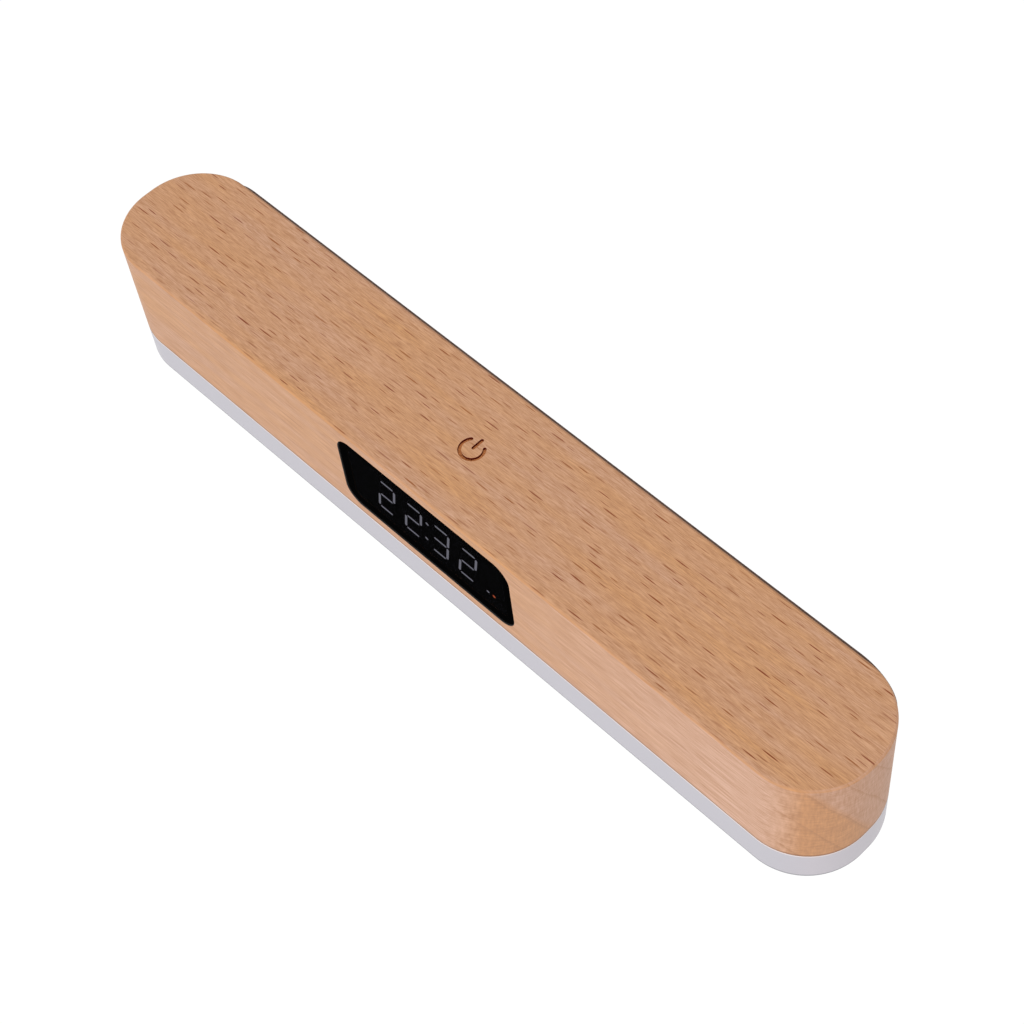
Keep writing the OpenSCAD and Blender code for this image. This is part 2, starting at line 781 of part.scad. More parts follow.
// Lead from the raised contact, and lead from the far end along the upper rear side of the cell
module battery_leads() color("firebrick") {
    end_x = cell_x1 + lead_d / 2 + lead_gap;
    tube(concat(
        [[board_x1 - lead_run, board_mid_y - lead_dy, lead_z]],
        smooth([
            [board_x1 - lead_edge, board_mid_y - lead_dy, lead_z],
            [cell_x0 - 2 * lead_bend, mid_y, cell_z],
            [cell_x0 - lead_gap, mid_y, cell_z]], lead_steps)), lead_d, lead_sides, [0, 1, 0]);
    tube(concat(
        [[board_x1 - lead_run, board_mid_y + lead_dy, lead_z]],
        smooth([
            [board_x1 - lead_edge, board_mid_y + lead_dy, lead_z],
            beside_cell(cell_x0 - lead_bend, lead_off),
            beside_cell(cell_x0 + lead_bend, lead_off)], lead_steps),
        [for (k = [0 : lead_steps])
            let (a = 90 * k / lead_steps)
            beside_cell(end_x - lead_bend * (1 - sin(a)), lead_off - lead_bend * (1 - cos(a)))],
        [beside_cell(end_x, weld_off)]), lead_d, lead_sides, [0, 1, 0]);
}

// Two leads over the board's edge and down through the chassis to the light strip
module strip_leads() color("crimson")
    for (y = [board_mid_y - lead_dy, board_mid_y + lead_dy])
        tube(concat(
            [[board_x0 + lead_run, y, lead_z]],
            [for (k = [0 : lead_steps])
                let (a = 90 * k / lead_steps)
                [strip_lead_x + lead_bend * (1 - sin(a)), y, lead_z - lead_bend * (1 - cos(a))]],
            [[strip_lead_x, y, wood_bot + touch_gap]]), lead_d, lead_sides, [0, 1, 0]);

module service_panel() color("black") difference() {
    upright(panel_back, panel_face, 0, port_z) plan(panel_l, panel_h, panel_r);
    for (x = button_xs)
        rod_y(button_d + 2 * slide_gap, panel_back - over, panel_face + over, x, port_z);
    upright(panel_back - over, panel_face + over, usb_x, port_z)
        stadium(usb_w + 2 * fit_gap, usb_h + 2 * fit_gap);
}

module usb_shell() color("silver") difference() {
    upright(panel_face - usb_l, panel_face, usb_x, port_z) stadium(usb_w, usb_h);
    upright(panel_face - usb_l + usb_back, panel_face + over, usb_x, port_z)
        stadium(usb_w - 2 * usb_wall, usb_h - 2 * usb_wall);
}

module usb_tongue() color("black")
    translate([usb_x - tongue_w / 2, panel_face - usb_l + usb_back, port_z - tongue_t / 2])
        cube([tongue_w, tongue_l, tongue_t]);

module switch_bodies() color("dimgray")
    for (x = button_xs)
        difference() {
            translate([x - switch_w / 2, switch_face - switch_d, board_top])
                cube([switch_w, switch_d, switch_h]);
            rod_y(plunger_d + 2 * slide_gap, plunger_hole_y, switch_face + over, x, port_z);
        }

// Round cap with a flange that stays behind the panel
module button(x) {
    translate([x, flange_y, port_z]) rotate([-90, 0, 0])
        soft_disc(button_d, panel_face + button_proud - flange_y, 0, button_edge_r);
    rod_y(flange_d, flange_y, flange_y + flange_t, x, port_z);
}

// Plunger of a switch, which its button pushes
module plunger(x) {
    rod_y(plunger_d, plunger_y, flange_y, x, port_z);
}

module set_button() color("gray") button(button_xs[0]);
module set_plunger() color("ivory") plunger(button_xs[0]);
module plus_button() color("gray") button(button_xs[1]);
module plus_plunger() color("ivory") plunger(button_xs[1]);
module minus_button() color("gray") button(button_xs[2]);
module minus_plunger() color("ivory") plunger(button_xs[2]);

module magnets() color("lightsteelblue")
    for (x = magnet_xs)
        rod_y(magnet_d, magnet_front_y, magnet_front_y + magnet_t, x, 0);

module wall_plate() color("darkslategray")
    upright(back_y, -tape_t) plan(plate_l, plate_h, plate_end_r);

module mounting_tape() color("gray")
    upright(-tape_t, 0) plan(plate_l - 2 * tape_margin, plate_h - 2 * tape_margin, tape_r);

wooden_body();
diffuser();
chassis();
chassis_screws();
strip_board();
strip_emitters();
strip_screws();
display_lens();
digit_block();
digit_segments();
status_lights();
clock_board();
segment_emitters();
clock_screws();
header_pins();
main_board();
board_chips();
board_screws();
touch_pad();
touch_spring();
battery_cell();
battery_foam();
battery_leads();
strip_leads();
service_panel();
usb_shell();
usb_tongue();
switch_bodies();
set_button();
set_plunger();
plus_button();
plus_plunger();
minus_button();
minus_plunger();
magnets();
wall_plate();
mounting_tape();
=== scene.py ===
"""Looks of a wall clock lamp: a beech bar with a clock window, a touch sign and a milky light bar below.

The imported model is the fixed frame. Each sub-assembly is a class that builds the pieces which show and
dresses the nodes that stay as they are. Sizes are in millimetres of the part frame: X runs along the bar,
Y runs back to the wall and Z is up, and the origin is on the wall.
"""

import logging
import math
from collections.abc import Callable, Sequence
from dataclasses import dataclass, replace
from enum import Enum
from functools import partial
from itertools import product

import bmesh
import bpy
from mathutils import Matrix, Vector


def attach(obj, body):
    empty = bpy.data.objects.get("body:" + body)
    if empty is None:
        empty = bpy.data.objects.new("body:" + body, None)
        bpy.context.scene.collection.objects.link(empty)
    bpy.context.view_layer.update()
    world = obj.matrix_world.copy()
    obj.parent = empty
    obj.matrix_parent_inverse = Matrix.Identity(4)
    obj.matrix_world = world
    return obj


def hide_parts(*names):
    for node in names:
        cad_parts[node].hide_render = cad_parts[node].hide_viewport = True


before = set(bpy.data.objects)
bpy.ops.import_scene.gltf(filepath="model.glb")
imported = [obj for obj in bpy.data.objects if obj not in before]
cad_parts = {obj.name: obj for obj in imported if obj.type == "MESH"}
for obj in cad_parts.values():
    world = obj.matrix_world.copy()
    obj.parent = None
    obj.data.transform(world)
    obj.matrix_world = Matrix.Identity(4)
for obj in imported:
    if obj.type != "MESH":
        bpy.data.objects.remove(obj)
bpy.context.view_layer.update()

MM = 0.001
LOG = logging.getLogger("wall_clock_lamp")

Spot = tuple[float, float]
Point = tuple[float, float, float]
Row = tuple[float, float]
Piece = bpy.types.Object
Material = bpy.types.Material
Socket = bpy.types.NodeSocket
Add = Callable[..., bpy.types.NodeOutputs]


# Shapes

SHARPEST = 0.02
ROUNDEST = 0.999
CREASE = math.radians(33)


class Facing(Enum):
    """Way in which outlines are stacked into a piece."""

    UP = "up"
    BACK = "back"

    def place(self, spot: Spot, level: float) -> Point:
        """Place of an outline's point at a level."""
        return (*spot, level) if self is Facing.UP else (spot[0], level, spot[1])


class Joinery(Enum):
    """What a tool body does to the piece that it meets."""

    TAKE = "DIFFERENCE"
    ADD = "UNION"


@dataclass(frozen=True)
class Plate:
    """Rounded rectangle, or a disc, from which pieces are stacked.

    Args:
        width: Size along X.
        height: Size along Y, or along Z where the stack goes back.
        radius: Corner radius.
        centre: Middle of the outline.
        steps: Straight steps in each corner.
    """

    width: float
    height: float
    radius: float
    centre: Spot = (0.0, 0.0)
    steps: int = 12

    def outline(self, inset: float = 0.0) -> list[Spot]:
        """Points round the plate.

        Args:
            inset: Distance by which every side is drawn in.
        Returns:
            The points in order, as many for every inset.
        """
        half_w = self.width / 2 - inset
        half_h = self.height / 2 - inset
        radius = min(max(self.radius - inset, SHARPEST), ROUNDEST * min(half_w, half_h))
        spots = []
        for quarter, (side_u, side_v) in enumerate([(1, 1), (-1, 1), (-1, -1), (1, -1)]):
            for step in range(self.steps + 1):
                angle = math.radians(90) * (quarter + step / self.steps)
                spots.append((
                    self.centre[0] + side_u * (half_w - radius) + radius * math.cos(angle),
                    self.centre[1] + side_v * (half_h - radius) + radius * math.sin(angle),
                ))
        return spots

    def rings(self, facing: Facing, rows: Sequence[Row]) -> list[list[Point]]:
        """Rings of points at rows of level and inset."""
        return [[facing.place(spot, level) for spot in self.outline(inset)] for level, inset in rows]

    def stack(self, name: str, facing: Facing, rows: Sequence[Row]) -> Piece:
        """Closed piece over rows of level and inset."""
        return skin(name, self.rings(facing, rows))

    def at(self, centre: Spot) -> "Plate":
        """The same plate at another place."""
        return replace(self, centre=centre)


def disc(diameter: float, centre: Spot = (0.0, 0.0), steps: int = 12) -> Plate:
    """Round plate."""
    return Plate(diameter, diameter, diameter / 2, centre, steps)


@dataclass(frozen=True)
class Cut:
    """Straight hole or pocket, made at one place or more.

    Args:
        outline: Outline of the hole.
        facing: Way that it goes.
        ends: Levels of its two ends.
        places: Middles of the copies.
    """

    outline: Plate
    facing: Facing
    ends: tuple[float, float]
    places: tuple[Spot, ...] = ((0.0, 0.0),)

    def tools(self) -> list[Piece]:
        """Bodies to be taken away, one for each place."""
        rows = [(end, 0.0) for end in self.ends]
        return [self.outline.at(spot).stack("cut", self.facing, rows) for spot in self.places]


def wall(
    start: float, end: float, start_ease: float = 0.0, end_ease: float = 0.0, steps: int = 5
) -> list[Row]:
    """Rows of a wall whose two edges are rounded over.

    Args:
        start: Level of the first edge.
        end: Level of the last edge.
        start_ease: Radius of the first edge.
        end_ease: Radius of the last edge.
        steps: Straight steps in each rounding.
    Returns:
        Levels and insets, from the first face to the last.
    """
    way = math.copysign(1.0, end - start)
    turns = [math.radians(90) * k / steps for k in range(steps + 1)]
    first = [(start + way * start_ease * (1 - math.cos(t)), start_ease * (1 - math.sin(t))) for t in turns]
    last = [(end - way * end_ease * (1 - math.sin(t)), end_ease * (1 - math.cos(t))) for t in turns]
    return (first if start_ease else [(start, 0.0)]) + (last if end_ease else [(end, 0.0)])


def drawn_in(rows: Sequence[Row], inset: float) -> list[Row]:
    """The same rows, drawn in by an inset."""
    return [(level, row_inset + inset) for level, row_inset in rows]


def linked(name: str, data: bpy.types.ID) -> bpy.types.Object:
    """New object in the scene.

    Args:
        name: Name of the object.
        data: Its mesh, light or camera.
    Returns:
        The object.
    """
    thing = bpy.data.objects.new(name, data)
    bpy.context.scene.collection.objects.link(thing)
    return thing


def skin(name: str, rings: Sequence[Sequence[Point]]) -> Piece:
    """Closed mesh over rings of points, with a face across the first and the last.

    Args:
        name: Name of the piece.
        rings: Rings in order, all with the same number of points.
    Returns:
        The new piece.
    """
    count = len(rings[0])
    points = [[part * MM for part in point] for ring in rings for point in ring]
    faces = [list(range(count)), list(range(len(points) - count, len(points)))]
    for row in range(0, len(points) - count, count):
        for here in range(count):
            after = (here + 1) % count
            faces.append([row + here, row + after, row + count + after, row + count + here])
    mesh = bpy.data.meshes.new(name)
    mesh.from_pydata(points, [], faces)
    shape = bmesh.new()
    shape.from_mesh(mesh)
    bmesh.ops.recalc_face_normals(shape, faces=shape.faces)
    shape.to_mesh(mesh)
    shape.free()
    return linked(name, mesh)


def remove(piece: Piece) -> None:
    """Takes a piece and its mesh out of the file.

    Args:
        piece: Piece that isn't needed any more.
    """
    mesh = piece.data
    bpy.data.objects.remove(piece)
    bpy.data.meshes.remove(mesh)


def joined(name: str, pieces: Sequence[Piece]) -> Piece:
    """One piece made of several that stay apart.

    Args:
        name: Name of the new piece.
        pieces: Pieces to take in, which are removed.
    Returns:
        The new piece.
    """
    shape = bmesh.new()
    for part in pieces:
        shape.from_mesh(part.data)
        remove(part)
    mesh = bpy.data.meshes.new(name)
    shape.to_mesh(mesh)
    shape.free()
    return linked(name, mesh)


def work(target: Piece, joinery: Joinery, tools: Sequence[Piece], finish_slot: int = 0) -> None:
    """Cuts tool bodies from a piece, or adds them to it.

    Args:
        target: Piece that is worked.
        joinery: Whether the tools are taken away or added.
        tools: Bodies that don't touch each other. They are removed.
        finish_slot: Place in the piece's list of finishes that the new faces take.
    """
    tool = joined("tool", tools)
    for material in target.data.materials:
        tool.data.materials.append(material)
    tool.data.polygons.foreach_set("material_index", [finish_slot] * len(tool.data.polygons))
    step = target.modifiers.new("joinery", "BOOLEAN")
    step.operation = joinery.value
    step.solver = "EXACT"
    step.object = tool
    graph = bpy.context.evaluated_depsgraph_get()
    mesh = bpy.data.meshes.new_from_object(target.evaluated_get(graph))
    target.modifiers.clear()
    before = target.data
    target.data = mesh
    bpy.data.meshes.remove(before)
    mesh.name = target.name
    remove(tool)


# Finishes

WHITE = "#FFFFFF"


def linear(code: str) -> tuple[float, float, float, float]:
    """Linear colour of an sRGB hex value."""
    parts = [int(code[k:k + 2], 16) / 255 for k in (1, 3, 5)]
    return (*(p / 12.92 if p <= 0.04045 else ((p + 0.055) / 1.055) ** 2.4 for p in parts), 1.0)


def add_node(
    tree: bpy.types.NodeTree,
    kind: str,
    *values: object,
    at: dict[str | int, object] | None = None,
    **settings: object,
) -> bpy.types.NodeOutputs:
    """Adds a shader node.

    Args:
        tree: Node tree that takes the node.
        kind: Kind of node, without the common first word.
        *values: Values, or outputs of other nodes, for its first sockets in order.
        at: More of them, by the name or number of the socket.
        **settings: Properties of the node.
    Returns:
        The node's outputs.
    """
    node = tree.nodes.new(f"ShaderNode{kind}")
    for name, value in settings.items():
        setattr(node, name, value)
    for key, value in [*enumerate(values), *(at or {}).items()]:
        if isinstance(value, Socket):
            tree.links.new(value, node.inputs[key])
        else:
            node.inputs[key].default_value = value
    return node.outputs


def bare_material(name: str) -> tuple[Material, Add]:
    """New material without nodes.

    Args:
        name: Its name.
    Returns:
        The material, and the function that adds nodes to it.
    """
    material = bpy.data.materials.new(name)
    material.use_nodes = True
    material.node_tree.nodes.clear()
    return material, partial(add_node, material.node_tree)


def laid(add: Add, size: Sequence[float], turn: Point = (0.0, 0.0, 0.0)) -> Socket:
    """Coordinates for a pattern of a real size.

    Args:
        add: Function that adds nodes.
        size: Millimetres that the pattern's unit takes along X, Y and Z.
        turn: Turn about the three axes, in degrees.
    Returns:
        The coordinates.
    """
    place = add("TexCoord")["Object"]
    scale = [length * MM for length in size]
    angles = [math.radians(angle) for angle in turn]
    return add("Mapping", place, at={"Rotation": angles, "Scale": scale}, vector_type="TEXTURE")[0]


class Look:
    """Finish of a piece, which has a name and is made when it is first used."""

    name: str

    def make(self) -> Material:
        """Builds the material."""
        raise NotImplementedError

    def material(self) -> Material:
        """The material, built if it isn't there yet."""
        return bpy.data.materials.get(self.name) or self.make()


class Pattern(Enum):
    """Surface pattern: its texture, that texture's output, and how far it is drawn out along X, Y and Z."""

    MOTTLE = ("TexNoise", "Fac", (1.0, 1.0, 1.0))
    CELLS = ("TexVoronoi", "Distance", (1.0, 1.0, 1.0))
    BRUSHED = ("TexNoise", "Fac", (25.0, 1.0, 1.0))
    WEAVE = ("TexChecker", "Fac", (1.0, 1.0, 1.0))


@dataclass(frozen=True)
class Finish(Look):
    """Plain maker's finish: two shades, a surface pattern and the gloss of the real material.

    Args:
        name: Material and how its surface was made.
        pale: Lighter shade.
        deep: Darker shade.
        grain: Size of the pattern.
        pattern: Kind of surface pattern.
        rough: Least and greatest roughness.
        bump: Depth of the pattern.
        metallic: 1 for bare metal.
        ior: Refractive index.
        glow: Colour of the light that it gives.
        glow_strength: Strength of that light.
        cloud: Size of the broad clouds of handling and moulding marks.
    """

    name: str
    pale: str
    deep: str
    grain: float
    pattern: Pattern
    rough: tuple[float, float]
    bump: float
    metallic: float = 0.0
    ior: float = 1.5
    glow: str = "#000000"
    glow_strength: float = 0.0
    cloud: float = 15.0

    def make(self) -> Material:
        """Builds the material.

        Returns:
            The new material.
        """
        material, add = bare_material(self.name)
        texture, output, drawn = self.pattern.value
        fine = laid(add, [self.grain * length for length in drawn])
        grain = add(texture, fine, at={"Scale": 1.0})[output]
        clouds = add("TexNoise", laid(add, [self.cloud] * 3), at={"Scale": 1.0, "Detail": 3.0})["Fac"]
        share = add("Math", clouds, 0.35, grain, operation="MULTIPLY_ADD")[0]
        tone = add("MapRange", share, 0.45, 0.95)[0]
        shades = {6: linear(self.pale), 7: linear(self.deep)}
        shader = add("BsdfPrincipled", at={
            "Base Color": add("Mix", tone, at=shades, data_type="RGBA")[2],
            "Roughness": add("MapRange", tone, 0.0, 1.0, *self.rough)[0],
            "Normal": add("Bump", at={"Height": grain, "Distance": self.bump * MM})[0],
            "Metallic": self.metallic,
            "IOR": self.ior,
            "Emission Color": linear(self.glow),
            "Emission Strength": self.glow_strength,
        })[0]
        add("OutputMaterial", shader)
        return material


@dataclass(frozen=True)
class RaySet:
    """Rays of one size, which show as spindles where the saw cuts across them.

    Args:
        cell: Length, width and height of the wood round one ray.
        half: Least and greatest half length of a spindle, as a share of the cell.
        strength: Darkness of the darkest spindle.
    """

    cell: Point
    half: tuple[float, float]
    strength: float


@dataclass(frozen=True)
class OiledBeech(Look):
    """Beech, planed, sanded and oiled: flecks on the flat top, fine fibres on the sides, rings on the ends.

    Args:
        name: Material and how its surface was made.
        rosy: Wood of the pinker patches.
        amber: Wood of the more orange patches.
        front_sheen: Painted sheen, the lighter tone that the front face takes towards its right.
        honey: Front half of the right end.
        mauve: Rear half of the right end.
        deep: Fibres and late wood.
        fleck: Rays cut across, the darkest of them.
        tan: The palest of those rays.
        edge: Painted light on the eased edges: a stronger orange that stands in for how the light falls on
            their rounding.
        edge_shade: Painted shade on the lower and rear edges.
        specular: Share of the plain surface reflection that the oil leaves, 0.5 being all of it.
        rough: Least and greatest roughness under the oil.
        relief: Depth of the fibres.
        slant: Turn of the fibres from the bar's length, in degrees, on the top and on the front.
        streak: Size of the pink and orange streaks.
        fibre_sizes: Sizes of the dashes on the flat top and of the lines on the sides.
        hatching: Sizes of the strands and of the rays on the ends.
        rays: Sets of rays on the flat top, the larger one first.
        stagger: Turn of the rays' drawn-out cells, in degrees.
        lean: Turn of the growth rings from level, in degrees.
        ring: Spacing of the growth rings.
        phase: Shift of the growth rings, in radians of a ring.
        sheen_span: Places along the bar between which the painted sheen on the front comes in.
        lower: Heights between which the lower edge takes painted shade.
        rear: Depths between which the rear edge takes painted shade.
    """

    name: str = "beech_sanded_and_oiled"
    rosy: str = "#D5A789"
    amber: str = "#D9A270"
    front_sheen: str = "#E5BBA4"
    honey: str = "#D49A6B"
    mauve: str = "#D4A890"
    deep: str = "#B3805A"
    fleck: str = "#7A2C00"
    tan: str = "#995A26"
    edge: str = "#D69A66"
    edge_shade: str = "#7A4E33"
    specular: float = 0.3
    rough: tuple[float, float] = (0.46, 0.58)
    relief: float = 0.03
    slant: float = -1.0
    streak: Point = (40.0, 4.0, 4.0)
    fibre_sizes: tuple[Point, Point] = ((3.0, 0.17, 0.17), (7.0, 0.3, 0.26))
    hatching: tuple[Point, Point] = ((4.0, 0.35, 2.5), (4.0, 2.5, 0.35))
    rays: tuple[RaySet, ...] = (
        RaySet((14.0, 1.0, 1.0), (0.1, 0.19), 1.0),
        RaySet((10.0, 0.7, 1.0), (0.07, 0.15), 0.38),
    )
    stagger: float = 27.0
    lean: float = -63.0
    ring: float = 5.7
    phase: float = 3.3
    sheen_span: tuple[float, float] = (20.0, 85.0)
    lower: tuple[float, float] = (-12.1, -12.6)
    rear: tuple[float, float] = (-2.5, -1.9)

    def make(self) -> Material:
        """Builds the material.

        Returns:
            The new material.
        """
        material, add = bare_material(self.name)
        colour, fibre = self.fibres(add, self.ground(add))
        shader = add("BsdfPrincipled", at={
            "Base Color": self.edges(add, self.flecks(add, colour)),
            "Roughness": add("MapRange", fibre, 0.0, 1.0, *self.rough)[0],
            "Normal": add("Bump", at={"Height": fibre, "Distance": self.relief * MM})[0],
            "IOR": 1.5,
            "Specular IOR Level": self.specular,
        })[0]
        add("OutputMaterial", shader)
        return material

    def spread(self, add: Add, size: Point) -> Socket:
        """Coordinates along the fibres for a pattern of a real size."""
        return laid(add, size, (0.0, self.slant, -self.slant))

    def across(self, add: Add) -> Socket:
        """Coordinates whose Z crosses the leaning rings, and in which a wave repeats 20 times in a turn."""
        wave = self.ring * 20 / math.tau
        return laid(add, (wave, wave, wave), (self.lean, 0.0, 0.0))

    def level(self, add: Add) -> Socket:
        """How far the surface lies flat: 1 on the top, 0 on the sides."""
        up = add("SeparateXYZ", add("TexCoord")["Normal"])["Z"]
        return add("Math", up, operation="ABSOLUTE")[0]

    def flat(self, add: Add) -> Socket:
        """Share that is 1 on the flat top and 0 beyond its eased edges."""
        return add("MapRange", self.level(add), 0.8, 0.97)[0]

    def ground(self, add: Add) -> Socket:
        """Colour of the wood between its fibres.

        Args:
            add: Function that adds nodes.
        Returns:
            The colour.
        """
        way = add("SeparateXYZ", add("TexCoord")["Normal"])
        # Pink and orange streaks
        hue = add("TexNoise", self.spread(add, self.streak), at={"Scale": 1.0, "Detail": 2.0})["Fac"]
        blush = add("MapRange", hue, 0.32, 0.68)[0]
        colour = add("Mix", blush, at={6: linear(self.amber), 7: linear(self.rosy)}, data_type="RGBA")[2]
        # The right end is honey-coloured in front, and pinker behind the ring that crosses it
        ending = add("MapRange", way["X"], 0.1, 0.4)[0]
        behind = add("MapRange", add("SeparateXYZ", self.across(add))["Z"], -1.13, -1.05)[0]
        sawn = add("Mix", behind, at={6: linear(self.honey), 7: linear(self.mauve)}, data_type="RGBA")[2]
        colour = add("Mix", ending, at={6: colour, 7: sawn}, data_type="RGBA")[2]
        # Painted sheen: the front face is painted lighter towards the right
        along = add("SeparateXYZ", add("TexCoord")["Object"])["X"]
        sheen = add("MapRange", along, *(x * MM for x in self.sheen_span), 0.18)[0]
        fronting = add("MapRange", way["Y"], -0.8, -0.99)[0]
        sheen = add("Math", sheen, fronting, operation="MULTIPLY")[0]
        return add("Mix", sheen, at={6: colour, 7: linear(self.front_sheen)}, data_type="RGBA")[2]

    def fibres(self, add: Add, colour: Socket) -> tuple[Socket, Socket]:
        """Draws the fibres and the rings' late wood, several times coarser than real so that they show.

        Args:
            add: Function that adds nodes.
            colour: Colour of the wood so far.
        Returns:
            The colour with fibres, and the fibres' own shade.
        """
        # Dashes on the flat top, longer and fainter lines on the sides
        fine = {"Scale": 1.0, "Detail": 3.0, "Roughness": 0.65}
        dashes, lines = (
            add("MapRange", add("TexNoise", self.spread(add, size), at=fine)["Fac"], 0.0, 1.0, *shades)[0]
            for size, shades in zip(self.fibre_sizes, ((-0.05, 1.05), (0.13, 0.87)))
        )
        fibre = add("Mix", self.flat(add), at={2: lines, 3: dashes}, data_type="FLOAT")[0]
        # Ends show the fibres cut across, crossed by rays, as a faint hatching
        along = add("SeparateXYZ", add("TexCoord")["Normal"])["X"]
        endward = add("MapRange", add("Math", along, operation="ABSOLUTE")[0], 0.12, 0.4)[0]
        strands, rays = (
            add("TexNoise", self.spread(add, size), at={"Scale": 1.0, "Detail": 2.0})["Fac"]
            for size in self.hatching
        )
        hatching = add("Mix", 0.5, at={2: strands, 3: rays}, data_type="FLOAT")[0]
        hatching = add("MapRange", hatching, 0.0, 1.0, 0.1, 0.9)[0]
        fibre = add("Mix", endward, at={2: fibre, 3: hatching}, data_type="FLOAT")[0]
        tone = add("MapRange", fibre, 0.32, 0.68)[0]
        # Late wood, which shows as lines across the ends
        waves = {
            "Scale": 1.0, "Distortion": 0.9, "Detail": 2.0, "Detail Scale": 1.5, "Phase Offset": self.phase,
        }
        rings = add("TexWave", self.across(add), at=waves, bands_direction="Z", wave_profile="SAW")["Fac"]
        late = add("MapRange", rings, 0.88, 1.0, 0.0, 0.35)[0]
        tone = add("Math", late, endward, tone, operation="MULTIPLY_ADD")[0]
        return add("Mix", tone, at={6: colour, 7: linear(self.deep)}, data_type="RGBA")[2], fibre

    def flecks(self, add: Add, colour: Socket) -> Socket:
        """Draws the rays cut across on the flat top: dark spindles, then a fainter and finer set.

        Args:
            add: Function that adds nodes.
            colour: Colour of the wood so far.
        Returns:
            The colour with flecks.
        """
        flat = self.flat(add)
        loose = {"Scale": 1.0, "Randomness": 0.75}
        shades = {6: linear(self.fleck), 7: linear(self.tan)}
        # The turn staggers the spindles, so that few lie side by side
        turn = {"Rotation": (0.0, 0.0, math.radians(self.stagger))}
        for rays in self.rays:
            cells = add("Mapping", self.spread(add, rays.cell), at=turn)[0]
            ray = add("TexVoronoi", cells, at=loose, voronoi_dimensions="2D")
            chance = add("SeparateColor", ray["Color"])
            half = add("MapRange", chance[0], 0.0, 1.0, *rays.half)[0]
            core = add("Math", half, 0.5, operation="MULTIPLY")[0]
            fade = (core, half, 1.0, 0.0)
            spindle = add("MapRange", ray["Distance"], *fade, interpolation_type="SMOOTHSTEP")[0]
            weight = add("MapRange", chance[1], 0.0, 1.0, 0.25 * rays.strength, rays.strength)[0]
            for share in (weight, flat):
                spindle = add("Math", spindle, share, operation="MULTIPLY")[0]
            shade = add("Mix", chance[2], at=shades, data_type="RGBA")[2]
            colour = add("Mix", spindle, at={6: colour, 7: shade}, data_type="RGBA")[2]
        return colour

    def edges(self, add: Add, colour: Socket) -> Socket:
        """Paints light and shade on the edges: a stronger orange on the eased edges, where the surface is
        neither flat nor upright, and painted shade on the lower and rear edges.

        Args:
            add: Function that adds nodes.
            colour: Colour of the wood so far.
        Returns:
            The colour with edges.
        """
        # Painted light: eased edges, where the surface is neither flat nor upright, take a stronger orange
        level = self.level(add)
        upright = add("Math", 1.0, level, operation="SUBTRACT")[0]
        bend = add("Math", upright, level, operation="MULTIPLY")[0]
        bend = add("MapRange", bend, 0.05, 0.25, 0.0, 0.35)[0]
        colour = add("Mix", bend, at={6: colour, 7: linear(self.edge)}, data_type="RGBA")[2]
        # Painted shade: bands along the lower edge and the eased rear edge are painted dark brown
        spot = add("SeparateXYZ", add("TexCoord")["Object"])
        lower, rear = (
            add("MapRange", spot[axis], start * MM, end * MM, 0.0, 0.7)[0]
            for axis, (start, end) in (("Z", self.lower), ("Y", self.rear))
        )
        # The painted shade stays off the back face itself
        back = add("SeparateXYZ", add("TexCoord")["Normal"])["Y"]
        rear = add("Math", rear, add("MapRange", back, 0.95, 0.8)[0], operation="MULTIPLY")[0]
        darkened = add("Math", lower, rear, operation="MAXIMUM")[0]
        return add("Mix", darkened, at={6: colour, 7: linear(self.edge_shade)}, data_type="RGBA")[2]


@dataclass(frozen=True)
class ScorchedBeech(Look):
    """Beech burnt away by a laser: dark red-brown walls, partly charring and partly painted shade, round a
    floor that is only browned.

    Args:
        name: Material and how its surface was made.
        char_and_shade: Walls of the groove, in a colour that is partly laser charring and partly painted
            shade.
        darkened: Floor of the groove.
        speckle: Charred specks on the floor.
        speck: Size of the specks that single pulses leave.
        relief: Depth of the specks.
    """

    name: str = "beech_burnt_by_laser"
    char_and_shade: str = "#661000"
    darkened: str = "#D88A54"
    speckle: str = "#8A4420"
    speck: float = 0.4
    relief: float = 0.04

    def make(self) -> Material:
        """Builds the material.

        Returns:
            The new material.
        """
        material, add = bare_material(self.name)
        specks = add("TexNoise", laid(add, [self.speck] * 3), at={"Scale": 1.0})["Fac"]
        share = add("MapRange", specks, 0.5, 0.75)[0]
        floor = add("Mix", share, at={6: linear(self.darkened), 7: linear(self.speckle)}, data_type="RGBA")[2]
        # Partly painted shade: sideways-facing walls take the dark colour and the floor stays paler
        level = add("MapRange", add("SeparateXYZ", add("TexCoord")["Normal"])["Z"], 0.3, 0.9)[0]
        shader = add("BsdfPrincipled", at={
            "Base Color": add("Mix", level, at={6: linear(self.char_and_shade), 7: floor}, data_type="RGBA")[2],
            "Normal": add("Bump", at={"Height": specks, "Distance": self.relief * MM})[0],
            "Roughness": 0.9,
            "IOR": 1.5,
            "Specular IOR Level": 0.1,
        })[0]
        add("OutputMaterial", shader)
        return material


